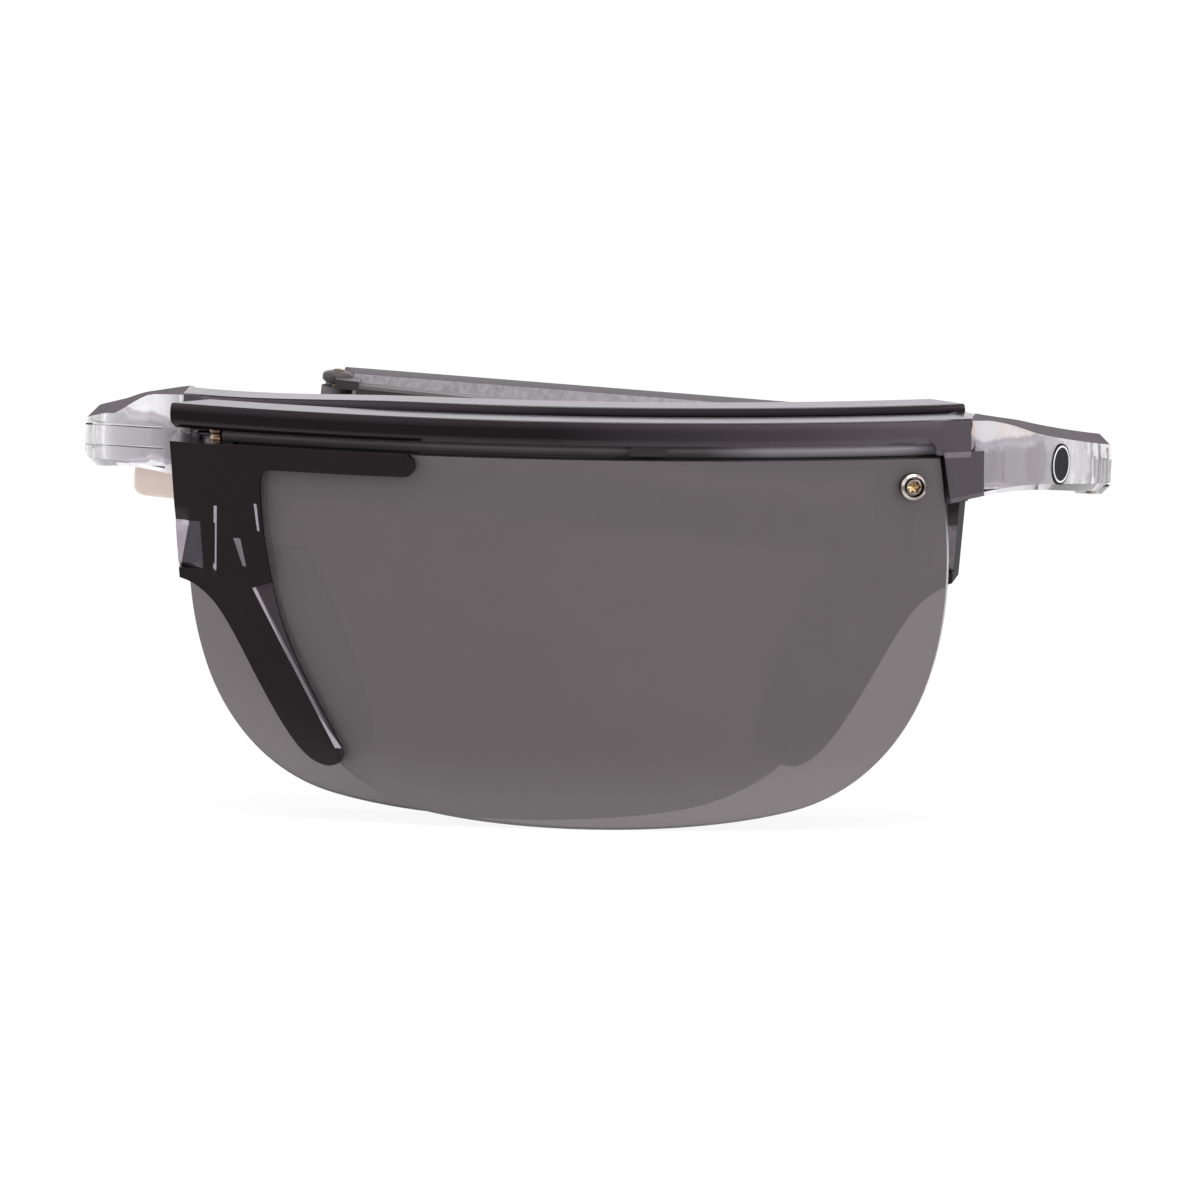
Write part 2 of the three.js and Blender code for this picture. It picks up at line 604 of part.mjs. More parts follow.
// The neck to the hinge's barrel leaves the blade above its middle line by the drop.
function templeFront(drop) {
  const half = TEMPLE_HEIGHT / 2;
  const lugTop = KNUCKLE_HEIGHT / 2;
  const lugBottom = KNUCKLE_BARREL / 2 + RUN;
  const start = HINGE_RADIUS + FIT + RUN;
  const end = TEMPLE_FRONT_LENGTH - KNUCKLE_RADIUS - FIT - RUN;
  const inner = -TEMPLE_THICKNESS / 2;
  const outline = polygon([[start, -half], [end, -lugTop], [end, lugTop], [start, half]]);
  const pivot = knucklePoint();
  const neckHalf = HINGE_BARREL / 2 - FIT;
  const neck = box(0, start + 2 * LAP, inner, -inner, drop - neckHalf, drop + neckHalf);
  const lugs = [[lugBottom, lugTop], [-lugTop, -lugBottom]].flatMap(([low, high]) => [
    box(end - LAP, TEMPLE_FRONT_LENGTH, inner, FOLD_OFFSET / 2, low, high),
    rod(pivot, Z_AXIS, KNUCKLE_RADIUS, low, high, 20),
  ]);
  const pinHole = rod(pivot, Z_AXIS, FOLD_PIN + RUN, -TEMPLE_HEIGHT, TEMPLE_HEIGHT, 16);
  return cut(join(sideExtrusion(outline, TEMPLE_THICKNESS, 0), neck, ...lugs), pinHole);
}

function foldPin() {
  const half = KNUCKLE_HEIGHT / 2;
  return rod(knucklePoint(), Z_AXIS, FOLD_PIN, -half, half, 16);
}

// Height of the rear half's middle line, counted along it from the knuckle.
function rearLine(along) {
  const step = THREE.MathUtils.smoothstep(along, tipStart() - TIP_STEP, tipStart());
  return -along * Math.tan(radians(REAR_DROP)) - TIP_DROP * step;
}

function tipStart() {
  return TEMPLE_REAR_LENGTH - TIP_LENGTH;
}

function rearX(along) {
  return TEMPLE_FRONT_LENGTH - along;
}

function templeRear() {
  const start = KNUCKLE_RADIUS + FIT;
  const end = tipStart() - FIT;
  const inner = FOLD_OFFSET - TEMPLE_THICKNESS / 2;
  const outer = FOLD_OFFSET + TEMPLE_THICKNESS / 2;
  const bend = end - TIP_STEP;
  const steps = 5;
  const stations = [start, ...Array.from({ length: steps + 1 }, (_, i) => bend + (i * TIP_STEP) / steps)];
  const halfAt = (along) => THREE.MathUtils.lerp(KNUCKLE_HEIGHT, TIP_HEIGHT, along / end) / 2;
  const top = stations.map((along) => [rearX(along), rearLine(along) + halfAt(along)]);
  const bottom = stations.map((along) => [rearX(along), rearLine(along) - halfAt(along)]).reverse();
  const blade = sideExtrusion(polygon([...top, ...bottom]), TEMPLE_THICKNESS, FOLD_OFFSET);
  const barrel = KNUCKLE_BARREL / 2;
  const neck = box(rearX(start + LAP), TEMPLE_FRONT_LENGTH, FOLD_OFFSET / 2, outer, -barrel, barrel);
  const tangEnd = tipStart() + TANG_LENGTH;
  const tangLine = rearLine(tipStart());
  const tang = box(rearX(tangEnd), rearX(end - LAP), FOLD_OFFSET - TANG_THICKNESS / 2,
    FOLD_OFFSET + TANG_THICKNESS / 2, tangLine - TANG_HEIGHT / 2, tangLine + TANG_HEIGHT / 2);
  const pinHole = rod(knucklePoint(), Z_AXIS, FOLD_PIN + RUN, -TEMPLE_HEIGHT, TEMPLE_HEIGHT, 16);
  const knuckle = rod(knucklePoint(), Z_AXIS, KNUCKLE_RADIUS, -barrel, barrel, 20);
  const clearLugs = [-1, 1].map((side) => rod(knucklePoint(), Z_AXIS, KNUCKLE_RADIUS + FIT,
    Math.min(side * barrel, side * TEMPLE_HEIGHT), Math.max(side * barrel, side * TEMPLE_HEIGHT)));
  return cut(join(cut(blade, ...clearLugs), neck, knuckle, tang), pinHole);
}

function templeTip() {
  const near = rearX(tipStart());
  const far = rearX(TEMPLE_REAR_LENGTH);
  const middle = rearLine(tipStart());
  const low = middle - TIP_HEIGHT / 2;
  const high = middle + TIP_HEIGHT / 2;
  const shape = new THREE.Shape();
  shape.moveTo(near, low);
  shape.lineTo(far + TIP_CORNER, low);
  shape.quadraticCurveTo(far, low, far, low + TIP_CORNER);
  shape.lineTo(far, high - TIP_CORNER);
  shape.quadraticCurveTo(far, high, far + TIP_CORNER, high);
  shape.lineTo(near, high);
  const block = sideExtrusion(shape, TIP_THICKNESS, FOLD_OFFSET);
  const pocket = box(rearX(tipStart() + TANG_LENGTH + FIT), near + 1,
    FOLD_OFFSET - TANG_THICKNESS / 2 - RUN, FOLD_OFFSET + TANG_THICKNESS / 2 + RUN,
    middle - TANG_HEIGHT / 2 - RUN, middle + TANG_HEIGHT / 2 + RUN);
  return cut(block, pocket);
}

// Finishes

function finish(color, roughness, metalness, opacity = 1) {
  return new THREE.MeshStandardMaterial({ color, roughness, metalness, opacity, transparent: opacity < 1 });
}

const FINISHES = {
  frame: () => finish(0x8f8d92, 0.2, 0, 0.7),
  lens: () => finish(0x4a4648, 0.08, 0, 0.75),
  carrier: () => finish(0x1c191a, 0.3, 0),
  pad: () => finish(0x2a2728, 0.6, 0),
  steel: () => finish(0xb9b1a6, 0.25, 1),
  brass: () => finish(0x96713f, 0.35, 1),
  rail: () => finish(0x4b484b, 0.25, 1),
  temple: () => finish(0xa5a3a8, 0.35, 0, 0.8),
  tip: () => finish(0xcdbdb4, 0.85, 0),
  badge: () => finish(0x4a484c, 0.3, 0),
};

// Assembly

const model = new THREE.Group();

function addPiece(name, body, finishName, matrix = new THREE.Matrix4()) {
  const geometry = geometryOf(placed(body, matrix));
  geometry.computeVertexNormals();
  const mesh = new THREE.Mesh(geometry, FINISHES[finishName]());
  mesh.name = name;
  model.add(mesh);
}

function addHalf(name, radius, matrix, tilt, hasBadge) {
  const hinge = hingePoint(radius);
  const half = HINGE_HEIGHT / 2;
  const head = half - HINGE_HEAD_HEIGHT;
  const hingeProfile = [[0, -half], [HINGE_PIN, -half], [HINGE_PIN, head], [HINGE_HEAD, head],
    [HINGE_HEAD, half], [0, half]];
  addPiece(`${name}_brow_frame`, browFrame(radius, tilt, hasBadge), "frame", matrix);
  addPiece(`${name}_lens`, lens(radius), "lens", matrix);
  addPiece(`${name}_nose_carrier`, noseCarrier(radius), "carrier", matrix);
  addPiece(`${name}_nose_pad`, nosePad(radius), "pad", matrix);
  addPiece(`${name}_lens_screw`, lensScrew(radius), "brass", matrix);
  addPiece(`${name}_lens_bush`, lensBush(radius), "steel", matrix);
  addPiece(`${name}_lens_insert`, lensInsert(radius), "brass", matrix);
  const rail = railBand(radius, RAIL_RADIUS, railStart(radius), railEnd(radius));
  addPiece(`${name}_rail`, rail, "rail", matrix);
  addPiece(`${name}_bridge_screw`, bridgeScrew(radius), "brass", matrix);
  addPiece(`${name}_hinge_screw`, lathed(hingeProfile, hinge, hingeAxis(tilt)), "steel", matrix);
  if (hasBadge) {
    const outer = ENDPIECE_THICKNESS / 2;
    const badge = badgeRod(radius, BADGE_WIDTH - 2 * RUN, BADGE_HEIGHT - 2 * RUN,
      outer - BADGE_DEPTH + RUN, outer);
    addPiece(`${name}_badge`, badge, "badge", matrix);
  }
}

function addTemple(name, radius, matrix, tilt, drop, foldRest) {
  const { folded } = templeFrames(tilt);
  const hinge = hingePoint(radius);
  const origin = hinge.clone().addScaledVector(folded[2], -drop);
  const place = new THREE.Matrix4().makeBasis(...folded).setPosition(origin).premultiply(matrix);
  const axis = hingeAxis(tilt);
  const half = HINGE_BARREL / 2;
  const onHinge = new THREE.Matrix4().copy(place).invert().multiply(matrix);
  const barrel = placed(rod(hinge, axis, HINGE_RADIUS, -half, half), onHinge);
  const bore = placed(rod(hinge, axis, HINGE_PIN + RUN, -HINGE_HEIGHT, HINGE_HEIGHT), onHinge);
  const pivot = knucklePoint();
  const unfold = new THREE.Matrix4().makeTranslation(pivot)
    .multiply(new THREE.Matrix4().makeRotationZ(-radians(foldRest)))
    .multiply(new THREE.Matrix4().makeTranslation(pivot.clone().negate()));
  const placeRear = place.clone().multiply(unfold);
  addPiece(`${name}_temple_front`, cut(join(templeFront(drop), barrel), bore), "temple", place);
  addPiece(`${name}_fold_pin`, foldPin(), "steel", place);
  addPiece(`${name}_temple_rear`, templeRear(), "temple", placeRear);
  addPiece(`${name}_temple_tip`, templeTip(), "tip", placeRear);
}

function alongRails(degrees) {
  return new THREE.Matrix4().makeTranslation(CENTRE)
    .multiply(new THREE.Matrix4().makeRotationZ(radians(degrees)))
    .multiply(new THREE.Matrix4().makeTranslation(CENTRE.clone().negate()));
}

const shifted = alongRails(FRONT_SHIFT);
const mirrored = new THREE.Matrix4().makeScale(-1, 1, 1);
const rearRadius = FRONT_RADIUS - NEST_STEP;
addHalf("front", FRONT_RADIUS, shifted, TEMPLE_TILT, true);
addHalf("rear", rearRadius, mirrored, -TEMPLE_TILT, false);
addPiece("rail_link", railLink(), "steel", alongRails(FRONT_SHIFT / 2));
addTemple("right", FRONT_RADIUS, shifted, TEMPLE_TILT, RIGHT_DROP, RIGHT_FOLD_REST);
addTemple("left", rearRadius, mirrored, -TEMPLE_TILT, 0, 0);

// The part stands on its lowest point, with the middle of its box on the origin.
const bounds = new THREE.Box3().setFromObject(model);
const middle = bounds.getCenter(new THREE.Vector3());
model.position.set(-middle.x, -middle.y, -bounds.min.z);

const group = new THREE.Group();
group.add(model);
export default group;
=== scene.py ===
"""Folding sunglasses, folded: the visible surfaces, built over the part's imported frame.

Metres, +Z up, +X to the viewer's right, +Y from the lenses back to the folded temples.
"""

import json
import logging
import math
from collections.abc import Iterable, Sequence
from dataclasses import dataclass, field, replace
from enum import Enum, IntEnum
from functools import cached_property

import bmesh
import bpy
from bmesh.types import BMEdge, BMesh, BMFace, BMVert
from bpy.types import Material, Node, NodeInputs, NodeOutputs, NodeSocket, NodeTree, Object, Scene
from mathutils import Matrix, Vector


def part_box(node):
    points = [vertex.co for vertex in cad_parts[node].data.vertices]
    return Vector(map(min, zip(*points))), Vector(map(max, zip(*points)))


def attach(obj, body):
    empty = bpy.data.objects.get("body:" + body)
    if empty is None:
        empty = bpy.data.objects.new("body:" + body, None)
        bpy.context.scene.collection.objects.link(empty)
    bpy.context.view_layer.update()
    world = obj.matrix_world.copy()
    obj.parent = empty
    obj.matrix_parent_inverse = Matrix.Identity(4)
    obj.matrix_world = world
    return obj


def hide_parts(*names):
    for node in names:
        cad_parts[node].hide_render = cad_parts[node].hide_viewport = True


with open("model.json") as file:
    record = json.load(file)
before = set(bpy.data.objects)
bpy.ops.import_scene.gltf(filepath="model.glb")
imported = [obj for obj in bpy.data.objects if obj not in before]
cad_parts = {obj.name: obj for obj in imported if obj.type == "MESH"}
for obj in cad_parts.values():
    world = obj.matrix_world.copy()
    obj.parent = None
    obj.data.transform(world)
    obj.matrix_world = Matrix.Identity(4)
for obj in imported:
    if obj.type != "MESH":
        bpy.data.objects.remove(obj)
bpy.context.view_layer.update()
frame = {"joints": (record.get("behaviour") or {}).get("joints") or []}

LOG = logging.getLogger("sunglasses")
MM = 0.001
MERGE = 0.002 * MM
RIGHT = Vector((1.0, 0.0, 0.0))
UP = Vector((0.0, 0.0, 1.0))
# How far a face's normal has to lean one way to count as facing that way, or as standing upright to it.
FACING = 0.3
UPRIGHT = 0.5
Flat = tuple[float, float]
Triple = tuple[float, float, float]
Colour = Triple


class Slot(Enum):
    """Material slots of the record."""

    FRAME = "frame_plastic"
    LENS = "lens_tint"
    CARRIER = "carrier_plastic"
    PAD = "nose_rubber"
    STEEL = "steel"
    BRASS = "brass"
    RAIL = "rail_steel"
    TEMPLE = "temple_plastic"
    TIP = "tip_rubber"
    BADGE = "badge_plastic"


class FrameSkin(IntEnum):
    """A brow frame's finishes, by their numbers on its faces."""

    CLEAR = 0
    # TOP and EDGE: darker colours on upward faces, painted shade.
    TOP = 1
    BAR = 2
    EDGE = 3
    # LIT: a painted highlight band under the bar's end.
    LIT = 4


class BlockSkin(IntEnum):
    """A nose block's finishes, by their numbers on its faces."""

    NYLON = 0
    # FACET, DIM, LIT and ARM are lighter colours that paint highlights and sheen.
    FACET = 1
    DIM = 2
    LIT = 3
    # Side walls painted near-black as shade.
    RECESS = 4
    ARM = 5


class BladeSkin(IntEnum):
    """A temple blade's finishes, by their numbers on its faces."""

    CLEAR = 0
    INNER = 1
    # TOP: upward faces, coloured darker as painted shade.
    TOP = 2


class ScrewSkin(IntEnum):
    """A lens screw's finishes, by their numbers on its faces."""

    HEAD = 0
    FLOOR = 1
    # WALL: the recess walls, painted dark as shade.
    WALL = 2


class Half(Enum):
    """The two half fronts. The front one has its hinge to the right."""

    FRONT = "front"
    REAR = "rear"

    @property
    def side(self) -> int:
        """1 where the hinge is to the right, -1 where it is to the left."""
        return 1 if self is Half.FRONT else -1

    @property
    def body(self) -> str:
        """Name of the body that the half's pieces ride on."""
        return f"{self.value}_half"

    @property
    def hinge(self) -> str:
        """Name of the half's temple hinge."""
        return "right_hinge" if self is Half.FRONT else "left_hinge"

    def node(self, piece: str) -> str:
        """Name of one of the half's nodes, pieces or finishes."""
        return f"{self.value}_{piece}"


def joint(name: str) -> dict:
    """The record's joint of that name."""
    return next(each for each in frame["joints"] if each["name"] == name)


def joint_point(name: str) -> Vector:
    """A point on the joint's axis."""
    return Vector(joint(name)["pos_m"])


def joint_axis(name: str) -> Vector:
    """The joint's axis, pointing up."""
    axis = Vector(joint(name)["axis"]).normalized()
    return axis if axis.z > 0 else -axis


def within(t: float) -> float:
    """The value t, kept between 0 and 1."""
    return min(1.0, max(0.0, t))


def smoothstep(t: float) -> float:
    """Eases t between 0 and 1."""
    t = within(t)
    return t * t * (3 - 2 * t)


def ramp(t: float, ease: float) -> float:
    """Runs straight from 0 to 1 and on, after easing in over a first share."""
    return (t * t / (2 * ease) if t < ease else t - ease / 2) / (1 - ease / 2)


def lerp(a: float, b: float, t: float) -> float:
    """The value a share t of the way from a to b."""
    return a + (b - a) * t


def steps(count: int, start: float = 0.0, end: float = 1.0) -> list[float]:
    """Evenly spaced values from start to end, both included."""
    return [lerp(start, end, i / (count - 1)) for i in range(count)]


def bezier(points: Sequence[Flat], count: int = 12) -> list[Flat]:
    """Points along a cubic curve.

    Args:
        points: The curve's start, its two handles and its end.
        count: How many points to make, the start left out.

    Returns:
        The points from just after the start to the end.
    """
    made = []
    for t in steps(count + 1)[1:]:
        weights = ((1 - t) ** 3, 3 * t * (1 - t) ** 2, 3 * t * t * (1 - t), t ** 3)
        made.append(tuple(sum(w * p[k] for w, p in zip(weights, points)) for k in (0, 1)))
    return made


@dataclass(frozen=True)
class Arc:
    """The upright cylinder that a half front is bent round, and the half's place along the rails."""

    half: Half

    @cached_property
    def centre(self) -> Vector:
        """Foot of the cylinder's axis."""
        point = joint_point("front_slide")
        return Vector((point.x, point.y, 0.0))

    @cached_property
    def radius(self) -> float:
        """Radius of the lens's face."""
        return round((self.centre.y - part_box(self.half.node("lens"))[0].y) / MM) * MM

    @cached_property
    def rest(self) -> Matrix:
        """Turn of the half about the axis, from where its slides are at their lower ends."""
        slides = ("link_slide", "front_slide") if self.half is Half.FRONT else ()
        return Matrix.Rotation(-math.radians(sum(joint(name)["range_deg"][0] for name in slides)), 3, "Z")

    def spun(self, x: float, y: float, z: float) -> Vector:
        """A direction of the half as drawn, turned to where the half rests."""
        return self.rest @ Vector((x, y, z))

    def bent(self, x: float, depth: float, z: float) -> Vector:
        """Place of a flat point, with its depth counted back from the lens's face."""
        reach = self.radius - depth
        return self.centre + self.spun(self.half.side * x, -math.sqrt(reach * reach - x * x), z)

    def turned(self, angle: float, depth: float, z: float) -> Vector:
        """Place of a point at an angle round the cylinder's axis."""
        reach = self.radius - depth
        return self.centre + self.spun(self.half.side * reach * math.sin(angle), -reach * math.cos(angle), z)

    def outward(self, x: float) -> Vector:
        """Direction out of the lens's face at x."""
        return (self.bent(x, 0.0, 0.0) - self.centre).normalized()


@dataclass
class Shaper:
    """A mesh in the making, with the steps that several pieces share."""

    bm: BMesh = field(default_factory=bmesh.new)

    def whole(self) -> list:
        """Every vertex, edge and face."""
        return [*self.bm.verts, *self.bm.edges, *self.bm.faces]

    def ring(self, points: Iterable[Vector]) -> list[BMVert]:
        """Adds a closed loop of edges.

        Args:
            points: The places that it runs through.

        Returns:
            Its vertices.
        """
        verts = [self.bm.verts.new(point) for point in points]
        for a, b in zip(verts, verts[1:] + verts[:1]):
            self.bm.edges.new((a, b))
        return verts

    def ring_edges(self, verts: Sequence[BMVert]) -> list[BMEdge]:
        """The edges of a closed loop."""
        return [self.bm.edges.get(pair) for pair in zip(verts, [*verts[1:], verts[0]])]

    def loft(self, rings: Sequence[Sequence[Vector]]) -> None:
        """Extrudes the first ring through all the others and closes both ends.

        Args:
            rings: Loops with as many points each.
        """
        current = self.ring(rings[0])
        bmesh.ops.contextual_create(self.bm, geom=self.ring_edges(current))
        for points in rings[1:]:
            made = bmesh.ops.extrude_edge_only(self.bm, edges=self.ring_edges(current))["geom"]
            fresh = {item for item in made if isinstance(item, BMVert)}
            current = [
                next(edge.other_vert(vert) for edge in vert.link_edges if edge.other_vert(vert) in fresh)
                for vert in current
            ]
            for vert, point in zip(current, points):
                vert.co = point
        bmesh.ops.contextual_create(self.bm, geom=self.ring_edges(current))

    def plate(self, outline: Sequence[Flat], front: float, back: float) -> list[BMFace]:
        """A flat plate in X and Z, with depth along Y.

        Args:
            outline: The plate's corners in X and Z.
            front: Depth of its front face.
            back: Depth of its back face.

        Returns:
            Its back faces.
        """
        corners = [self.bm.verts.new((x, front, z)) for x, z in outline]
        face = self.bm.faces.new(corners)
        return self.deepen([face], back)

    def deepen(self, faces: Sequence[BMFace], depth: float) -> list[BMFace]:
        """Extrudes flat faces straight back.

        Args:
            faces: The faces to extrude.
            depth: Where they end.

        Returns:
            The faces at that depth.
        """
        made = bmesh.ops.extrude_face_region(self.bm, geom=list(faces))["geom"]
        for item in made:
            if isinstance(item, BMVert):
                item.co.y = depth
        return [item for item in made if isinstance(item, BMFace)]

    def cut(self, point: Sequence[float], normal: Sequence[float]) -> None:
        """Cuts the whole mesh along a plane and keeps both sides."""
        bmesh.ops.bisect_plane(self.bm, geom=self.whole(), dist=MERGE, plane_co=point, plane_no=normal)

    def slice(self, normal: Sequence[float], places: Iterable[float]) -> None:
        """Cuts the whole mesh along planes with one direction.

        Args:
            normal: Normal of the planes.
            places: Their distances from the origin.
        """
        direction = Vector(normal).normalized()
        for place in places:
            self.cut(direction * place, direction)

    def lathe(self, profile: Sequence[Flat], centre: Vector, axis: Vector, count: int = 40) -> None:
        """Turns a profile of radius and height round an axis.

        Args:
            profile: Open line from axis to axis, or a closed ring off the axis.
            centre: Where height is 0.
            axis: Direction of height.
            count: Steps round the axis.
        """
        turn = axis.to_track_quat("Z", "Y").to_matrix()
        verts = [self.bm.verts.new(centre + turn @ Vector((r, 0.0, h))) for r, h in profile]
        pairs = list(zip(verts, verts[1:]))
        if profile[0][0] > MERGE:
            pairs.append((verts[-1], verts[0]))
        edges = [self.bm.edges.new(pair) for pair in pairs]
        bmesh.ops.spin(self.bm, geom=[*verts, *edges], cent=centre, axis=axis, angle=2 * math.pi,
                       steps=count, use_merge=True)

    def place(self, matrix: Matrix) -> None:
        """Moves the whole mesh."""
        bmesh.ops.transform(self.bm, matrix=matrix, verts=self.bm.verts)

    def clean(self) -> None:
        """Merges doubles and turns every face outwards."""
        bmesh.ops.remove_doubles(self.bm, verts=self.bm.verts, dist=MERGE)
        bmesh.ops.recalc_face_normals(self.bm, faces=self.bm.faces)

    def piece(self, name: str, *materials: Material) -> Object:
        """Ends the mesh as an object.

        Args:
            name: The object's name.
            materials: Its materials, in the order of the faces' material numbers.

        Returns:
            The object, in the scene and at the origin.
        """
        self.clean()
        mesh = bpy.data.meshes.new(name)
        self.bm.to_mesh(mesh)
        self.bm.free()
        for material in materials:
            mesh.materials.append(material)
        mesh.shade_smooth()
        made = bpy.data.objects.new(name, mesh)
        bpy.context.scene.collection.objects.link(made)
        return made

    def tool(self, *materials: Material) -> Object:
        """Ends the mesh as a tool, to be joined to a piece or cut from it."""
        return self.piece("tool", *materials)


def rod(centre: Vector, axis: Vector, radius: float, ends: Flat, dome: float = 0.0, count: int = 36) -> Object:
    """A round rod as a tool.

    Args:
        centre: On its axis, at height 0.
        axis: Direction of the rod.
        radius: Its radius.
        ends: Heights of its foot and top.
        dome: Height over which both ends are rounded, or 0 for flat ends.
        count: Steps round the axis.

    Returns:
        The tool.
    """
    low, high = ends
    profile = [(0.0, low), (radius, low), (radius, high), (0.0, high)]
    if dome:
        rise = [(radius * math.cos(a), dome * math.sin(a)) for a in steps(7, 0.0, math.pi / 2)]
        top = [(r, high - dome + h) for r, h in rise]
        bottom = [(r, low + dome - h) for r, h in reversed(rise)]
        profile = [(0.0, low), *bottom[1:], *top[:-1], (0.0, high)]
    shaper = Shaper()
    shaper.lathe(profile, centre, axis, count)
    return shaper.tool()


def rounded(piece: Object, width: float, segments: int = 2, angle: float = 35.0) -> None:
    """Rounds a piece's sharp edges with a live bevel that keeps its flat faces flat.

    Args:
        piece: The object to round.
        width: Width of the rounding.
        segments: Steps across it.
        angle: Least angle, in degrees, that counts as a sharp edge.
    """
    bevel = piece.modifiers.new("edges", "BEVEL")
    bevel.width = width
    bevel.segments = segments
    bevel.profile = 0.5
    bevel.limit_method = "ANGLE"
    bevel.angle_limit = math.radians(angle)
    bevel.harden_normals = True
    bevel.use_clamp_overlap = True


def carved(piece: Object, tools: Iterable[Object], operation: str) -> None:
    """Joins tools to a piece, or cuts them from it, and deletes them.

    Args:
        piece: The object whose mesh changes.
        tools: Closed objects.
        operation: UNION or DIFFERENCE.
    """
    for tool in tools:
        modifier = piece.modifiers.new("carve", "BOOLEAN")
        modifier.operation = operation
        modifier.solver = "EXACT"
        modifier.object = tool
        bpy.context.view_layer.update()
        graph = bpy.context.evaluated_depsgraph_get()
        mesh = bpy.data.meshes.new_from_object(piece.evaluated_get(graph))
        piece.modifiers.clear()
        old, piece.data = piece.data, mesh
        mesh.name = piece.name
        bpy.data.meshes.remove(old)
        bpy.data.objects.remove(tool)
    piece.data.shade_smooth()


def settle(piece: Object, place: Matrix) -> None:
    """Moves a piece's mesh to its place, with its faces outwards also where the place is mirrored.

    Args:
        piece: The object whose mesh moves.
        place: Where it goes.
    """
    piece.data.transform(place)
    if place.determinant() < 0:
        piece.data.flip_normals()


def finish_piece(piece: Object, body: str, slot: Slot, *nodes: str) -> None:
    """Ties a piece to the frame and reports it.

    Args:
        piece: The finished object.
        body: Body that it rides on.
        slot: Slot of its material; not used.
        nodes: Nodes that it stands for.
    """
    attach(piece, body)
    if nodes:
        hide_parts(*nodes)
    LOG.info("%s rides on %s", piece.name, body)


@dataclass
class Nodes:
    """The nodes of one material, group or world, with short ways to add and join them."""

    tree: NodeTree

    def add(self, kind: str, inputs: dict | None = None, **settings) -> Node:
        """Adds a node.

        Args:
            kind: Its type, without the word ShaderNode.
            inputs: Sockets to feed.
            settings: Properties of the node.

        Returns:
            The node.
        """
        node = self.tree.nodes.new(kind if kind.startswith("Node") else f"ShaderNode{kind}")
        for key, value in settings.items():
            setattr(node, key, value)
        self.feed(node, inputs or {})
        return node

    def feed(self, node: Node, inputs: dict) -> None:
        """Sets sockets of a node, or joins them.

        Args:
            node: The node.
            inputs: Sockets by name or number, each set to a value or joined to an output.
        """
        for key, value in inputs.items():
            if isinstance(value, NodeSocket):
                self.tree.links.new(value, node.inputs[key])
            else:
                node.inputs[key].default_value = value

    def math(self, operation: str, a: NodeSocket | float, b: NodeSocket | float = 0.0) -> NodeSocket:
        """Adds a Math node and returns its value."""
        return self.add("Math", {0: a, 1: b}, operation=operation).outputs[0]

    def group(self, tree: NodeTree, inputs: dict) -> Node:
        """Places a node group with its inputs set."""
        return self.add("Group", inputs, node_tree=tree)


def new_group(name: str, inputs: dict[str, str],
              outputs: dict[str, str]) -> tuple[NodeTree, Nodes, NodeOutputs, NodeInputs]:
    """Starts a shader node group.

    Args:
        name: The group's name.
        inputs: Socket types of its inputs, by name.
        outputs: Socket types of its outputs, by name.

    Returns:
        The group, its nodes, the sockets that come in and the sockets that go out.
    """
    tree = bpy.data.node_groups.new(name, "ShaderNodeTree")
    for direction, sockets in (("INPUT", inputs), ("OUTPUT", outputs)):
        for label, kind in sockets.items():
            tree.interface.new_socket(label, in_out=direction, socket_type=kind)
    nodes = Nodes(tree)
    entry = nodes.add("NodeGroupInput").outputs
    leave = nodes.add("NodeGroupOutput").inputs
    return tree, nodes, entry, leave


FLOAT = "NodeSocketFloat"
COLOUR = "NodeSocketColor"
VECTOR = "NodeSocketVector"
WARM: Colour = (1.0, 0.84, 0.9)


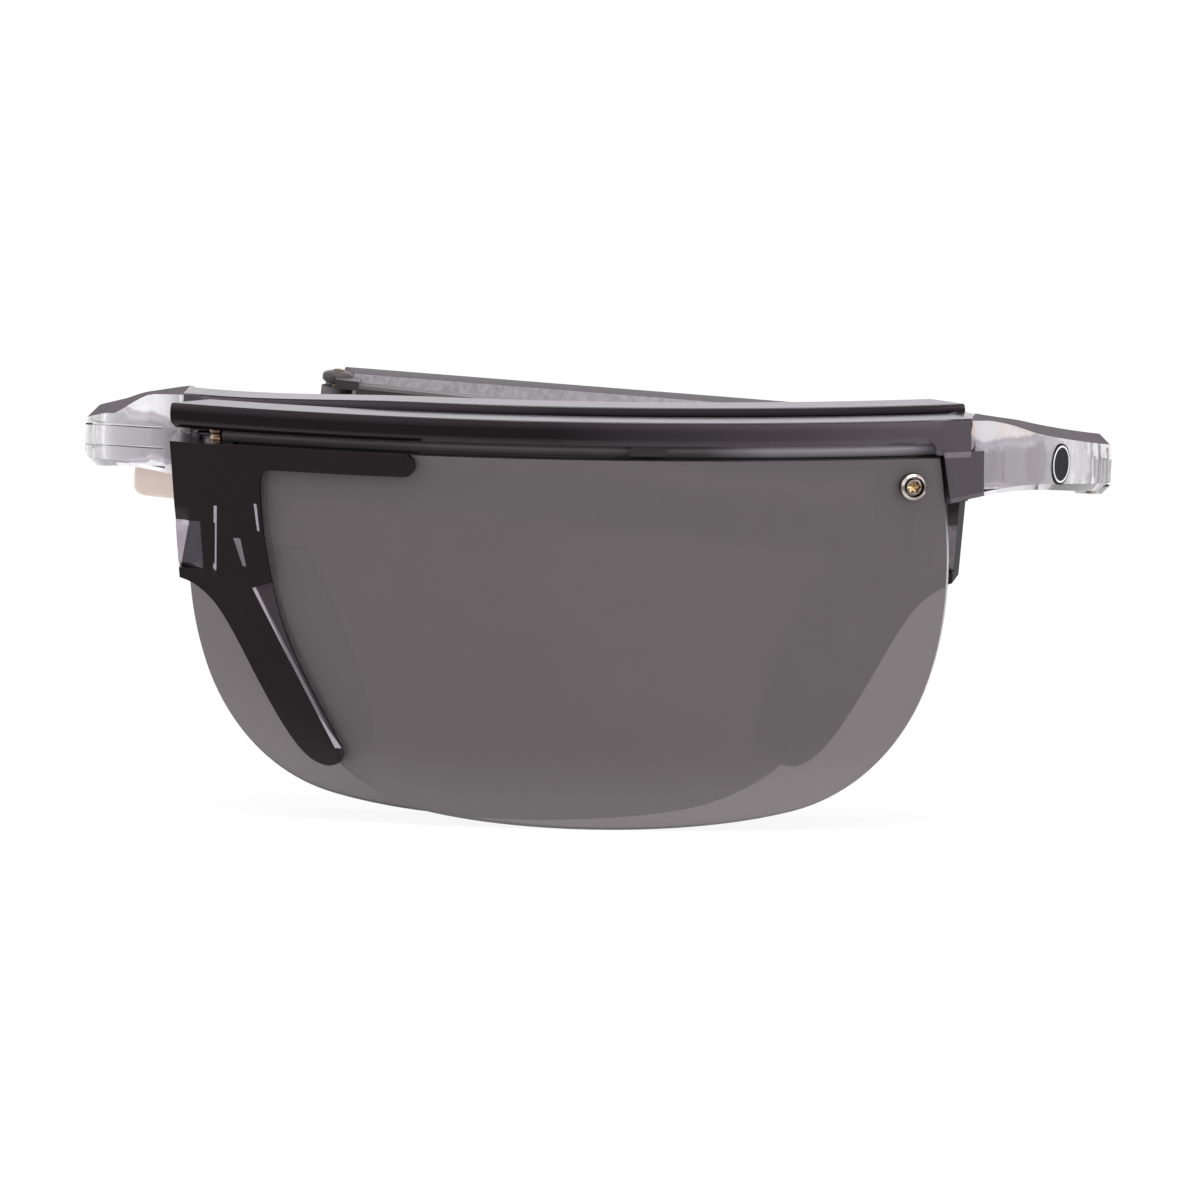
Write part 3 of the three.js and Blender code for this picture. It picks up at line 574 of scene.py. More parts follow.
@dataclass
class Effects:
    """Node groups that more than one finish uses."""

    cloud_middle: float = 0.5
    smear_middle: float = 0.4
    least_roughness: float = 0.01

    def __post_init__(self) -> None:
        """Makes the groups."""
        self.fade = self.make_fade()
        self.marks = self.make_marks()
        self.grain = self.make_grain()

    def make_fade(self) -> NodeTree:
        """Colour that fades along X, with a slight cloudiness as in moulded nylon.

        Returns:
            The group.
        """
        tree, nodes, entry, leave = new_group(
            "smoke_fade",
            {"Direction": FLOAT, "Start": FLOAT, "Middle": FLOAT, "End": FLOAT, "Dark": COLOUR, "Grey": COLOUR,
             "Clear": COLOUR, "Cloud": FLOAT},
            {"Color": COLOUR})
        place = nodes.add("TexCoord").outputs["Object"]
        across = nodes.add("SeparateXYZ", {0: place}).outputs["X"]
        along = nodes.math("MULTIPLY", across, entry["Direction"])
        cloud = nodes.add("TexNoise", {"Vector": place, "Scale": 180.0, "Detail": 3.0}).outputs["Fac"]
        drift = nodes.math("MULTIPLY", nodes.math("SUBTRACT", cloud, self.cloud_middle), entry["Cloud"])
        colour = entry["Dark"]
        for low, high, target in (("Start", "Middle", "Grey"), ("Middle", "End", "Clear")):
            share = nodes.add("MapRange", {"Value": nodes.math("ADD", along, drift), "From Min": entry[low],
                                           "From Max": entry[high]}).outputs[0]
            colour = nodes.add("Mix", {0: share, 6: colour, 7: entry[target]}, data_type="RGBA").outputs[2]
        tree.links.new(colour, leave["Color"])
        return tree

    def make_marks(self) -> NodeTree:
        """Roughness with faint smears and hairline scratches.

        Returns:
            The group.
        """
        tree, nodes, entry, leave = new_group(
            "handling_marks", {"Base": FLOAT, "Smear": FLOAT, "Hairline": FLOAT}, {"Roughness": FLOAT})
        place = nodes.add("TexCoord").outputs["Object"]
        smear = nodes.add("TexNoise", {"Vector": place, "Scale": 140.0, "Detail": 4.0}).outputs["Fac"]
        streak = nodes.add("Mapping", {"Vector": place, "Scale": (220.0, 220.0, 2600.0)}).outputs[0]
        lines = nodes.add("TexNoise", {"Vector": streak, "Scale": 1.0, "Detail": 2.0}).outputs["Fac"]
        thin = nodes.add("MapRange", {"Value": lines, "From Min": 0.62, "From Max": 0.72}).outputs[0]
        worn = nodes.math("MULTIPLY", nodes.math("SUBTRACT", smear, self.smear_middle), entry["Smear"])
        total = nodes.math("ADD", nodes.math("ADD", entry["Base"], worn),
                           nodes.math("MULTIPLY", thin, entry["Hairline"]))
        tree.links.new(nodes.math("MAXIMUM", total, self.least_roughness), leave["Roughness"])
        return tree

    @staticmethod
    def make_grain() -> NodeTree:
        """Normal of a fine moulded or sanded grain, and the grain itself.

        Returns:
            The group.
        """
        tree, nodes, entry, leave = new_group(
            "surface_grain", {"Scale": FLOAT, "Height": FLOAT}, {"Normal": VECTOR, "Mask": FLOAT})
        place = nodes.add("TexCoord").outputs["Object"]
        noise = nodes.add(
            "TexNoise", {"Vector": place, "Scale": entry["Scale"], "Detail": 3.0, "Roughness": 0.6}).outputs["Fac"]
        bump = nodes.add("Bump", {"Height": noise, "Distance": entry["Height"]})
        tree.links.new(bump.outputs[0], leave["Normal"])
        tree.links.new(noise, leave["Mask"])
        return tree


@dataclass(frozen=True)
class Finish:
    """What every finish has: a name, a roughness, a grain and a gloss."""

    name: str
    roughness: float = 0.3
    smear: float = 0.1
    hairline: float = 0.05
    grain: float = 2500.0
    relief: float = 0.002 * MM
    gloss: float = 0.5
    glint: Colour = (1.0, 1.0, 1.0)
    metallic: float = 0.0
    transmission: float = 0.0
    ior: float = 1.5

    def material(self, effects: Effects) -> Material:
        """Makes the material.

        Args:
            effects: The node groups that finishes share.

        Returns:
            The material.
        """
        made = bpy.data.materials.new(self.name)
        made.use_nodes = True
        nodes = Nodes(made.node_tree)
        marks = nodes.group(
            effects.marks, {"Base": self.roughness, "Smear": self.smear, "Hairline": self.hairline})
        grain = nodes.group(effects.grain, {"Scale": self.grain, "Height": self.relief})
        nodes.feed(made.node_tree.nodes["Principled BSDF"], {
            "Base Color": self.colour(effects, nodes, grain.outputs["Mask"]),
            "Roughness": marks.outputs["Roughness"], "Normal": grain.outputs["Normal"],
            "Specular IOR Level": self.gloss, "Specular Tint": (*self.glint, 1.0), "Metallic": self.metallic,
            "Transmission Weight": self.transmission, "IOR": self.ior})
        return made

    def colour(self, effects: Effects, nodes: Nodes, mask: NodeSocket) -> NodeSocket:
        """Adds the nodes of the finish's colour.

        Args:
            effects: The node groups that finishes share.
            nodes: The material's nodes.
            mask: The grain, as a value between 0 and 1.

        Returns:
            The colour.
        """
        raise NotImplementedError


@dataclass(frozen=True)
class Fading(Finish):
    """A finish that fades along X, such as nylon from smoke to clear."""

    direction: int = 1
    start: float = 4 * MM
    middle: float = 33 * MM
    end: float = 36 * MM
    dark: Colour = (0.003, 0.0026, 0.0028)
    grey: Colour = (0.13, 0.115, 0.125)
    clear: Colour = (0.74, 0.72, 0.75)
    cloud: float = 2 * MM
    transmission: float = 1.0

    def colour(self, effects: Effects, nodes: Nodes, mask: NodeSocket) -> NodeSocket:
        """Fades the colour from dark over grey to clear."""
        fade = nodes.group(effects.fade, {
            "Direction": float(self.direction), "Start": self.start, "Middle": self.middle, "End": self.end,
            "Dark": (*self.dark, 1.0), "Grey": (*self.grey, 1.0), "Clear": (*self.clear, 1.0),
            "Cloud": self.cloud})
        return fade.outputs["Color"]


@dataclass(frozen=True)
class Plain(Finish):
    """A plain coloured finish that varies a little over the surface."""

    tone: Colour = (0.5, 0.5, 0.5)
    shade: Colour = (0.4, 0.4, 0.4)

    def colour(self, effects: Effects, nodes: Nodes, mask: NodeSocket) -> NodeSocket:
        """Mixes tone and shade by the grain."""
        mixed = nodes.add("Mix", {0: mask, 6: (*self.shade, 1.0), 7: (*self.tone, 1.0)}, data_type="RGBA")
        return mixed.outputs[2]


@dataclass
class Palette:
    """Every material of the sunglasses."""

    effects: Effects = field(default_factory=Effects)

    def __post_init__(self) -> None:
        """Makes the materials from their finishes."""
        finishes = {**self.lens_finishes(), **self.block_finishes(), **self.frame_finishes(),
                    **self.temple_finishes(), **self.metal_finishes(), **self.badge_finishes()}
        self.materials = {key: finish.material(self.effects) for key, finish in finishes.items()}

    def __getitem__(self, key: str) -> Material:
        """The material of that name."""
        return self.materials[key]

    @staticmethod
    def lens_finishes() -> dict[str, Finish]:
        """Tinted lens and its polished rim.

        Returns:
            Finishes by key.
        """
        return {
            "lens": Plain(
                "grey_lens", roughness=0.03, smear=0.02, hairline=0.01, grain=40.0, relief=0.0,
                tone=(0.224, 0.199, 0.206), shade=(0.213, 0.188, 0.196), transmission=0.638),
            "lens_rim": Plain(
                "polished_lens_rim", roughness=0.1, smear=0.05, hairline=0.02, grain=900.0, relief=0.0, gloss=0.04,
                tone=(0.06, 0.053, 0.057), shade=(0.05, 0.044, 0.048)),
        }

    @staticmethod
    def block_finishes() -> dict[str, Finish]:
        """Nylon of the nose block, lighter copies of it that paint highlights and sheen, a darker one that paints
        shade, and the soft pad.

        Returns:
            Finishes by key.
        """
        return {
            "carrier": Plain(
                "dark_nylon", roughness=0.17, smear=0.08, grain=3200.0, relief=0.0005 * MM,
                tone=(0.006, 0.0045, 0.005), shade=(0.004, 0.003, 0.0033), glint=WARM),
            # Bright colour for the front block's facet, ridge and crease ends: a painted highlight.
            "window": Plain(
                "thin_nylon", roughness=0.2, grain=1500.0, tone=(0.3, 0.262, 0.3), shade=(0.2, 0.175, 0.205)),
            # Dim colour for the block's inner facet: a painted sheen.
            "window_dim": Plain(
                "thicker_nylon", roughness=0.2, grain=1500.0, tone=(0.05, 0.045, 0.056), shade=(0.03, 0.027, 0.034),
                glint=WARM),
            # Mid colour for the arm's crease and crescent, the rear block's facets and the band under the brow bar's
            # end: a painted highlight.
            "window_mid": Plain(
                "edge_lit_nylon", roughness=0.25, grain=1500.0, gloss=0.15, tone=(0.15, 0.132, 0.146),
                shade=(0.09, 0.079, 0.088), glint=WARM),
            # Near-black, almost without gloss, for the block's side walls: painted shade.
            "recess": Plain(
                "shaded_nylon", roughness=0.5, hairline=0.0, grain=2600.0, relief=0.001 * MM, gloss=0.04,
                tone=(0.004, 0.0032, 0.0035), shade=(0.002, 0.0016, 0.0018)),
            # Colour of the arm's sloped strip: a painted sheen.
            "arm_facet": Plain(
                "sloped_nylon", roughness=0.2, grain=1500.0, tone=(0.02, 0.0175, 0.021),
                shade=(0.012, 0.0105, 0.0125), glint=WARM),
            "pad": Plain(
                "nose_elastomer", roughness=0.5, smear=0.2, hairline=0.0, grain=5200.0, relief=0.006 * MM,
                tone=(0.022, 0.019, 0.02), shade=(0.014, 0.012, 0.013)),
        }

    @staticmethod
    def frame_finishes() -> dict[str, Finish]:
        """Nylon of the brow frames, from smoke bar to clear endpiece, with darker colours on upward faces that paint
        shade.

        Returns:
            Finishes by key.
        """
        made = {
            "front_frame": Fading(
                "clear_nylon_front", roughness=0.06, smear=0.06, hairline=0.04, grain=420.0, relief=0.012 * MM),
            "rear_frame": Fading(
                "clear_nylon_rear", roughness=0.05, smear=0.05, hairline=0.04, grain=420.0, relief=0.008 * MM,
                direction=-1, clear=(0.9, 0.885, 0.915)),
            # Matt grey for the clear endpiece's upward faces: painted shade.
            "edge": Plain(
                "smoke_edge", roughness=0.5, grain=420.0, relief=0.006 * MM, gloss=0.0, tone=(0.125, 0.111, 0.122),
                shade=(0.085, 0.075, 0.083)),
        }
        for half in Half:
            made[half.node("bar")] = Fading(
                f"smoke_nylon_{half.value}", roughness=0.12, smear=0.06, hairline=0.04, grain=420.0,
                relief=0.006 * MM, gloss=0.36, glint=WARM, direction=half.side, start=0.0, middle=22 * MM,
                end=31 * MM, dark=(0.004, 0.003, 0.0034), grey=(0.036, 0.03, 0.036), clear=(0.056, 0.048, 0.056),
                cloud=3 * MM, transmission=0.0)
            # Darker, clear copy of the bar's fade for its upward faces: painted shade.
            made[half.node("top")] = Fading(
                f"polished_top_{half.value}", roughness=0.1, smear=0.06, hairline=0.04, grain=420.0,
                relief=0.004 * MM, direction=half.side, dark=(0.002, 0.0018, 0.002), grey=(0.02, 0.018, 0.0195),
                clear=(0.045, 0.041, 0.045))
        return made

    @staticmethod
    def temple_finishes() -> dict[str, Finish]:
        """Nylon of the temples, a darker matt grey that paints shade on upward faces, and their soft tips.

        Returns:
            Finishes by key.
        """
        return {
            "temple": Fading(
                "temple_nylon", roughness=0.1, smear=0.08, grain=420.0, relief=0.01 * MM, start=-45 * MM,
                middle=-20 * MM, end=45 * MM, dark=(0.5, 0.48, 0.51), grey=(0.16, 0.15, 0.16),
                clear=(0.5, 0.48, 0.51)),
            "temple_inner": Plain(
                "smoke_blade", grain=1200.0, relief=0.004 * MM, gloss=0.2, tone=(0.06, 0.051, 0.052),
                shade=(0.04, 0.034, 0.035)),
            # Darker matt grey for the rear blade's upward faces and knuckle end: painted shade.
            "temple_top": Plain(
                "sanded_edge", roughness=0.6, grain=1200.0, relief=0.01 * MM, gloss=0.0, tone=(0.14, 0.13, 0.14),
                shade=(0.11, 0.101, 0.11)),
            "frost": Plain(
                "frosted_nylon", roughness=0.55, smear=0.2, hairline=0.1, grain=2200.0, relief=0.05 * MM,
                tone=(0.6, 0.57, 0.6), shade=(0.13, 0.115, 0.13), transmission=0.3),
            "tip": Plain(
                "soft_tip", roughness=0.85, hairline=0.0, grain=3600.0, relief=0.01 * MM, tone=(0.73, 0.62, 0.555),
                shade=(0.63, 0.53, 0.475)),
        }

    @staticmethod
    def metal_finishes() -> dict[str, Finish]:
        """Screws, pins, rails and their slider, with painted shade on the slider, the rail's left part and the walls
        of bush and screw recess.

        Returns:
            Finishes by key.
        """
        return {
            "steel": Plain(
                "turned_steel", roughness=0.2, smear=0.15, hairline=0.2, grain=2600.0, relief=0.001 * MM,
                tone=(0.62, 0.58, 0.53), shade=(0.5, 0.46, 0.42), metallic=1.0),
            "brass": Plain(
                "turned_brass", roughness=0.24, smear=0.2, hairline=0.2, grain=2600.0, relief=0.001 * MM,
                tone=(0.58, 0.38, 0.19), shade=(0.4, 0.25, 0.12), metallic=1.0),
            "brass_dull": Plain(
                "dull_brass", roughness=0.35, smear=0.2, hairline=0.2, grain=2600.0, relief=0.001 * MM,
                tone=(0.5, 0.36, 0.24), shade=(0.2, 0.13, 0.08), metallic=1.0),
            # Dark brass for the knuckle pins, and painted shade on the walls of the lens bush and screw recess.
            "brass_dark": Plain(
                "aged_brass", roughness=0.35, smear=0.2, hairline=0.2, grain=2600.0, tone=(0.16, 0.11, 0.07),
                shade=(0.08, 0.055, 0.035), metallic=1.0),
            # Strip darker to the left and lighter to the right: painted shade under the opaque bar, painted light
            # under the clear end.
            "rail": Fading(
                "drawn_strip", roughness=0.32, smear=0.15, hairline=0.15, grain=2600.0, relief=0.001 * MM,
                start=-30 * MM, middle=13 * MM, end=19 * MM, dark=(0.1, 0.089, 0.094), grey=(0.12, 0.107, 0.113),
                clear=(0.4, 0.37, 0.41), transmission=0.0, metallic=0.3),
            # Dark, nearly matt grey for the slider in the slot: painted shade.
            "link": Plain(
                "dull_steel", roughness=0.6, grain=2600.0, relief=0.001 * MM, gloss=0.1, tone=(0.05, 0.045, 0.047),
                shade=(0.035, 0.031, 0.033)),
        }

    @staticmethod
    def badge_finishes() -> dict[str, Finish]:
        """The plain oval inlay and its rim.

        Returns:
            Finishes by key.
        """
        return {
            "badge": Plain(
                "oval_inlay", roughness=0.5, grain=3000.0, relief=0.001 * MM, gloss=0.08,
                tone=(0.012, 0.012, 0.015), shade=(0.008, 0.008, 0.01)),
            "badge_rim": Plain(
                "oval_rim", roughness=0.25, grain=3000.0, relief=0.001 * MM, tone=(0.62, 0.61, 0.63),
                shade=(0.5, 0.49, 0.51)),
        }


@dataclass(frozen=True)
class Section:
    """Cross-section of a brow frame, in depth behind the lens's face and height."""

    front: float
    back: float
    top: float
    bottom: float
    ceiling: float
    lip: float
    channel: float
    bulge: float
    outer_top: float
    outer_bottom: float
    inner: float

    def points(self) -> list[Flat]:
        """Corners from the back of the top, over the full front, to the back of the bottom.

        Returns:
            The corners, in depth and height.
        """
        high = self.top - self.outer_top
        low = self.bottom + self.outer_bottom
        rim = self.front + self.bulge
        face = [(self.front + self.bulge * (2 * share - 1) ** 2, lerp(high, low, share)) for share in steps(6)]
        return [
            (self.back, self.top - self.inner), (self.back - self.inner, self.top),
            (rim + self.outer_top, self.top), *face, (rim + self.outer_bottom, self.bottom),
            (self.lip, self.bottom), (self.channel, self.ceiling),
            (self.back - self.inner, self.ceiling), (self.back, self.ceiling + self.inner),
        ]


@dataclass(frozen=True)
class End:
    """Shape of an endpiece towards its hinge."""

    thickness: float
    radius: float
    hold: float
    rise: float
    chamfer: float
    arch: float
    smoke_end: float
    smoke_foot: float
    crown: float

    @staticmethod
    def of(half: Half) -> "End":
        """The half's own shape: the rear endpiece is slimmer.

        Args:
            half: Which half.

        Returns:
            The shape.
        """
        if half is Half.FRONT:
            return End(thickness=3.4 * MM, radius=1.75 * MM, hold=0.3, rise=0.65 * MM, chamfer=0.95 * MM,
                       arch=1.2 * MM, smoke_end=35.3 * MM, smoke_foot=36.4 * MM, crown=0.0)
        return End(thickness=2.7 * MM, radius=1.45 * MM, hold=0.13, rise=0.44 * MM, chamfer=1.3 * MM,
                   arch=0.7 * MM, smoke_end=33.7 * MM, smoke_foot=31.2 * MM, crown=0.5 * MM)


@dataclass
class HalfPiece:
    """What the pieces of a half front share: their arc, their places and the sizes that they meet at."""

    half: Half
    palette: Palette
    proud: float = 0.7 * MM
    seat: float = 0.3 * MM
    lap: float = 0.05 * MM
    back_depth: float = 4.3 * MM
    nasal_end: float = 35.6 * MM
    lens_thickness: float = 2.0 * MM
    lens_temporal: float = 32.6 * MM
    lens_nasal: float = 29.6 * MM
    screw_inset: float = 2.4 * MM
    screw_drop: float = 2.4 * MM
    hinge_pin: float = 0.55 * MM
    hinge_foot: float = 2.15 * MM
    pin_top: float = 1.9 * MM
    slice_step: float = 1.0 * MM

    def __post_init__(self) -> None:
        """Takes the half's places from the frame."""
        self.arc = Arc(self.half)
        self.end = End.of(self.half)
        self.lens_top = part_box(self.half.node("lens"))[1].z
        self.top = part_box(self.half.node("brow_frame"))[1].z
        self.hinge = joint_point(self.half.hinge)
        self.hinge_axis = joint_axis(self.half.hinge)
        self.screw_x = self.lens_temporal - self.screw_inset
        self.screw_z = self.lens_top - self.screw_drop

    def done(self, piece: Object, slot: Slot, node: str) -> None:
        """Ties a piece of this half to its body and node."""
        finish_piece(piece, self.half.body, slot, self.half.node(node))

    def own(self, key: str) -> Material:
        """The half's own version of a finish."""
        return self.palette[self.half.node(key)]

    def bend(self, shaper: Shaper, low: float, high: float) -> None:
        """Slices a flat mesh and bends it round the arc.

        Args:
            shaper: The mesh.
            low: Where the slices start, along X.
            high: Where they end.
        """
        count = max(2, round((high - low) / self.slice_step))
        shaper.slice(RIGHT, steps(count + 1, low, high)[1:-1])
        for vert in shaper.bm.verts:
            vert.co = self.arc.bent(*vert.co)


@dataclass
class BrowFrame(HalfPiece):
    """Bar, cheek, lens tab and endpiece of a half front in one moulding, and the right one's badge."""

    bar_back: float = 3.3 * MM
    bar_height: float = 2.2 * MM
    bar_steps: int = 49
    flange: float = 1.3 * MM
    lip: float = 1.2 * MM
    bulge: float = 0.1 * MM
    bar_edge: float = 0.12 * MM
    lip_edge: float = 0.45 * MM
    crown_run: float = 20 * MM
    end_slant: float = 2.1 * MM
    slant_rings: int = 4
    slot_end: float = 32.3 * MM
    slot_fillet: float = 0.9 * MM
    slot_closing: float = 1.2 * MM
    cheek_wall: Flat = (32.95 * MM, 33.55 * MM)
    cheek_bottom: float = 28.8 * MM
    cheek_right: float = 34.8 * MM
    tab_radius: float = 2.4 * MM
    tab_lift: float = 0.6 * MM
    hinge_height: float = 5.2 * MM
    barrel_height: float = 2.0 * MM
    pin_play: float = 0.1 * MM
    endpiece_run: Flat = (0.08, 1.0)
    endpiece_inset: float = 0.4 * MM
    endpiece_edge: float = 0.75 * MM
    endpiece_back: float = 0.4 * MM
    endpiece_slim: float = 0.5
    endpiece_swell: float = 0.85
    chamfer_run: float = 0.4
    lip_shares: Flat = (0.45, 0.6)
    edge_share: float = 0.4
    bulge_share: float = 0.03
    cap_fall: float = 0.1
    cap_turn: float = 84.0
    root_pull: Flat = (4.9 * MM, 2.0 * MM)
    hinge_pull: Flat = (0.9 * MM, 11.6 * MM)
    groove_run: Flat = (0.02, 0.97)
    groove_places: Flat = (1.4 * MM, -0.4 * MM)
    groove_climb: float = 0.14
    groove_size: Flat = (0.07 * MM, 0.5 * MM)
    groove_reach: float = 0.3 * MM
    smoke_step: float = 33.4 * MM
    smoke_back: float = 2.4 * MM
    # Height of the painted highlight band under the smoke border.
    painted_highlight_band: float = 0.5 * MM
    rounding: float = 0.12 * MM
    badge_place: float = 0.52
    badge_lift: float = 0.65 * MM
    badge_growth: float = 1.18
    badge_field: tuple[Flat, ...] = ((1.0, -0.3 * MM), (1.0, 0.02 * MM), (0.96, 0.04 * MM), (0.7, 0.03 * MM))
    badge_rim: tuple[Flat, ...] = ((0.9, -0.1 * MM), (0.9, 0.06 * MM), (0.88, 0.08 * MM), (0.83, 0.08 * MM),
                                   (0.81, 0.06 * MM), (0.81, -0.1 * MM))

    def bar_section(self) -> Section:
        """Section of the open bar, over its rail channel.

        Returns:
            The section.
        """
        bottom = self.top - self.bar_height
        inside = self.lip - self.proud
        return Section(-self.proud, self.bar_back, self.top, bottom, self.top - self.flange, inside, inside,
                       self.bulge, self.bar_edge, self.lip_edge, self.bar_edge)

    def closing_section(self, share: float, bottom: float, back: float) -> Section:
        """Section where the slot closes.

        Args:
            share: Share of the way to a solid section.
            bottom: Height of its foot.
            back: Depth of its back.

        Returns:
            The section.
        """
        bar = self.bar_section()
        return replace(bar, back=back, bottom=bottom, ceiling=lerp(bar.ceiling, bottom, share),
                       channel=bar.channel + self.slot_closing * share)

    def bar_rings(self) -> list[list[Vector]]:
        """Rings of the bar, from its slanted nasal end to the cheek beside the lens.

        Returns:
            The rings.
        """
        face = self.arc.radius + self.proud
        first = -math.asin(self.nasal_end / face)
        last = math.asin((self.slot_end - self.slot_fillet) / face)
        section = self.bar_section().points()
        depth_share = 1 / (self.proud + self.bar_back)
        rings = []
        for index, angle in enumerate(steps(self.bar_steps, first, last)):
            slant = self.end_slant / face * max(0.0, 1 - index / self.slant_rings)
            crown = self.end.crown * smoothstep((last - angle) * face / self.crown_run)
            rings.append([
                self.arc.turned(angle + slant * (depth + self.proud) * depth_share, depth,
                                z + crown if z > self.top - self.flange / 2 else z)
                for depth, z in section])
        web = self.lens_top + self.seat
        bar_bottom = self.top - self.bar_height
        for turn in steps(8, 0.0, math.pi / 2)[1:]:
            x = self.slot_end - self.slot_fillet * (1 - math.sin(turn))
            share = 1 - math.cos(turn)
            closing = self.closing_section(share, lerp(bar_bottom, web, share), self.bar_back)
            rings.append([self.arc.bent(x, *point) for point in closing.points()])
        for x, bottom, back in ((self.cheek_wall[0], web - self.lap, self.bar_back),
                                (self.cheek_wall[1], self.cheek_bottom, self.back_depth)):
            cheek = self.closing_section(1.0, bottom, back)
            rings.append([self.arc.bent(x, *point) for point in cheek.points()])
        return rings

    def endpiece_line(self) -> list[Vector]:
        """The endpiece's curve seen from above.

        Returns:
            Its start, two handles and end.
        """
        side = self.half.side
        start = self.arc.bent(self.cheek_right - self.endpiece_inset, (self.back_depth - self.proud) / 2, 0.0)
        root = start + self.arc.spun(side * self.root_pull[0], self.root_pull[1], 0.0)
        pull = self.hinge - self.arc.spun(side * self.hinge_pull[0], self.hinge_pull[1], 0.0)
        return [point.xy for point in (start, root, pull, self.hinge)]

    def endpiece_at(self, t: float) -> tuple[Vector, Vector]:
        """A place along the endpiece.

        Args:
            t: Share of the way along it.

        Returns:
            The endpiece's middle there, and the direction out of its outer face.
        """
        start, root, pull, end = self.endpiece_line()
        s = 1 - t
        here = s ** 3 * start + 3 * s * s * t * root + 3 * s * t * t * pull + t ** 3 * end
        along = 3 * s * s * (root - start) + 6 * s * t * (pull - root) + 3 * t * t * (end - pull)
        across = Vector((along.y, -along.x, 0.0)).normalized() * self.half.side
        return here.to_3d(), across

    def endpiece_ring(self, centre: Vector, across: Vector, t: float, width: float) -> list[Vector]:
        """A ring round the endpiece.

        Args:
            centre: Middle of the ring, seen from above.
            across: Out of the outer face.
            t: Share of the way along the endpiece, which sets heights and chamfers.
            width: Thickness there.

        Returns:
            The ring's points.
        """
        ease = smoothstep(t)
        hinge_top = self.hinge.z + self.hinge_height / 2 + self.end.rise
        arch = self.end.arch * math.sqrt(abs(math.sin(math.pi * min(1.0, t))))
        bottom = lerp(self.cheek_bottom, self.hinge.z - self.hinge_foot, ease) + arch
        limit = width * self.edge_share
        section = Section(
            0.0, width, lerp(self.top, hinge_top, ramp(t, self.end.hold)), bottom, bottom,
            *(width * share for share in self.lip_shares),
            min(self.bulge, width * self.bulge_share),
            min(lerp(self.bar_edge, self.end.chamfer, smoothstep(t / self.chamfer_run)), limit),
            min(lerp(self.lip_edge, self.endpiece_edge, ease), limit),
            min(lerp(self.bar_edge, self.endpiece_back, ease), limit))
        return [Vector((*(centre + across * (width / 2 - depth)).xy, z)) for depth, z in section.points()]

    def endpiece_width(self, t: float) -> float:
        """Thickness of the endpiece.

        Args:
            t: Share of the way along it.

        Returns:
            The thickness there.
        """
        slim = lerp(self.back_depth + self.proud, self.end.thickness, min(1.0, t / self.endpiece_slim))
        swell = smoothstep((t - self.endpiece_swell) / (1 - self.endpiece_swell))
        return lerp(slim, 2 * self.end.radius, swell)

    def endpiece_rings(self) -> list[list[Vector]]:
        """Rings of the endpiece, along its curve to the round end about the hinge.

        Returns:
            The rings.
        """
        rings = []
        for t in steps(30, *self.endpiece_run):
            centre, across = self.endpiece_at(t)
            rings.append(self.endpiece_ring(centre, across, t, self.endpiece_width(t)))
        centre, across = self.endpiece_at(1.0)
        ahead = Vector((-across.y, across.x, 0.0)) * self.half.side
        for turn in steps(9, 0.0, math.radians(self.cap_turn))[1:]:
            reach = centre + ahead * self.end.radius * math.sin(turn)
            rings.append(self.endpiece_ring(reach, across, 1.0 + self.cap_fall * math.sin(turn),
                                            2 * self.end.radius * math.cos(turn)))
        return rings

    def groove(self, place: float) -> Object:
        """A fine groove along the endpiece's outer face, as a tool.

        Args:
            place: Its height over the hinge's middle, from where it climbs towards the bar.

        Returns:
            The tool.
        """
        half, depth = self.groove_size
        corners = ((self.groove_reach, half), (self.groove_reach, -half), (-depth, -half), (-depth, half))
        rings = []
        for t in steps(14, *self.groove_run):
            centre, across = self.endpiece_at(t)
            z = self.hinge.z + place + (self.hinge.y - centre.y) * self.groove_climb
            reach = self.endpiece_width(t) / 2
            rings.append([Vector((*(centre + across * (reach + out)).xy, z + rise)) for out, rise in corners])
        shaper = Shaper()
        shaper.loft(rings)
        return shaper.tool()

    def drum(self, radius: float, low: float, high: float) -> Object:
        """A plain round tool on the hinge's axis, between two heights from the hinge's middle."""
        return rod(self.hinge, self.hinge_axis, radius, (low, high), count=40)

    def lens_tab(self) -> Object:
        """The round tab behind the lens that takes its screw, as a tool.

        Returns:
            The tool.
        """
        shaper = Shaper()
        arc = [(self.screw_x + self.tab_radius * math.cos(a), self.screw_z + self.tab_radius * math.sin(a))
               for a in steps(17, math.pi / 2, 3 * math.pi / 2)]
        corners = [(self.cheek_right, self.screw_z + self.tab_lift + rise)
                   for rise in (-self.tab_radius, self.tab_radius)]
        shaper.plate([*arc, *corners], self.lens_thickness + self.seat, self.back_depth - self.lap)
        self.bend(shaper, self.screw_x - self.tab_radius, self.cheek_right)
        return shaper.tool(self.own("frame"))

    def build(self) -> None:
        """Bar, cheek and endpiece as one loft, with the lens tab joined on and the hinge cut out."""
        shaper = Shaper()
        shaper.loft([*self.bar_rings(), *self.endpiece_rings()])
        fronts = {self.end.smoke_end, self.end.smoke_foot}
        for border in sorted(fronts | {place - self.smoke_back for place in fronts}):
            shaper.cut(self.arc.bent(border, 0.0, 0.0), self.arc.spun(*RIGHT))
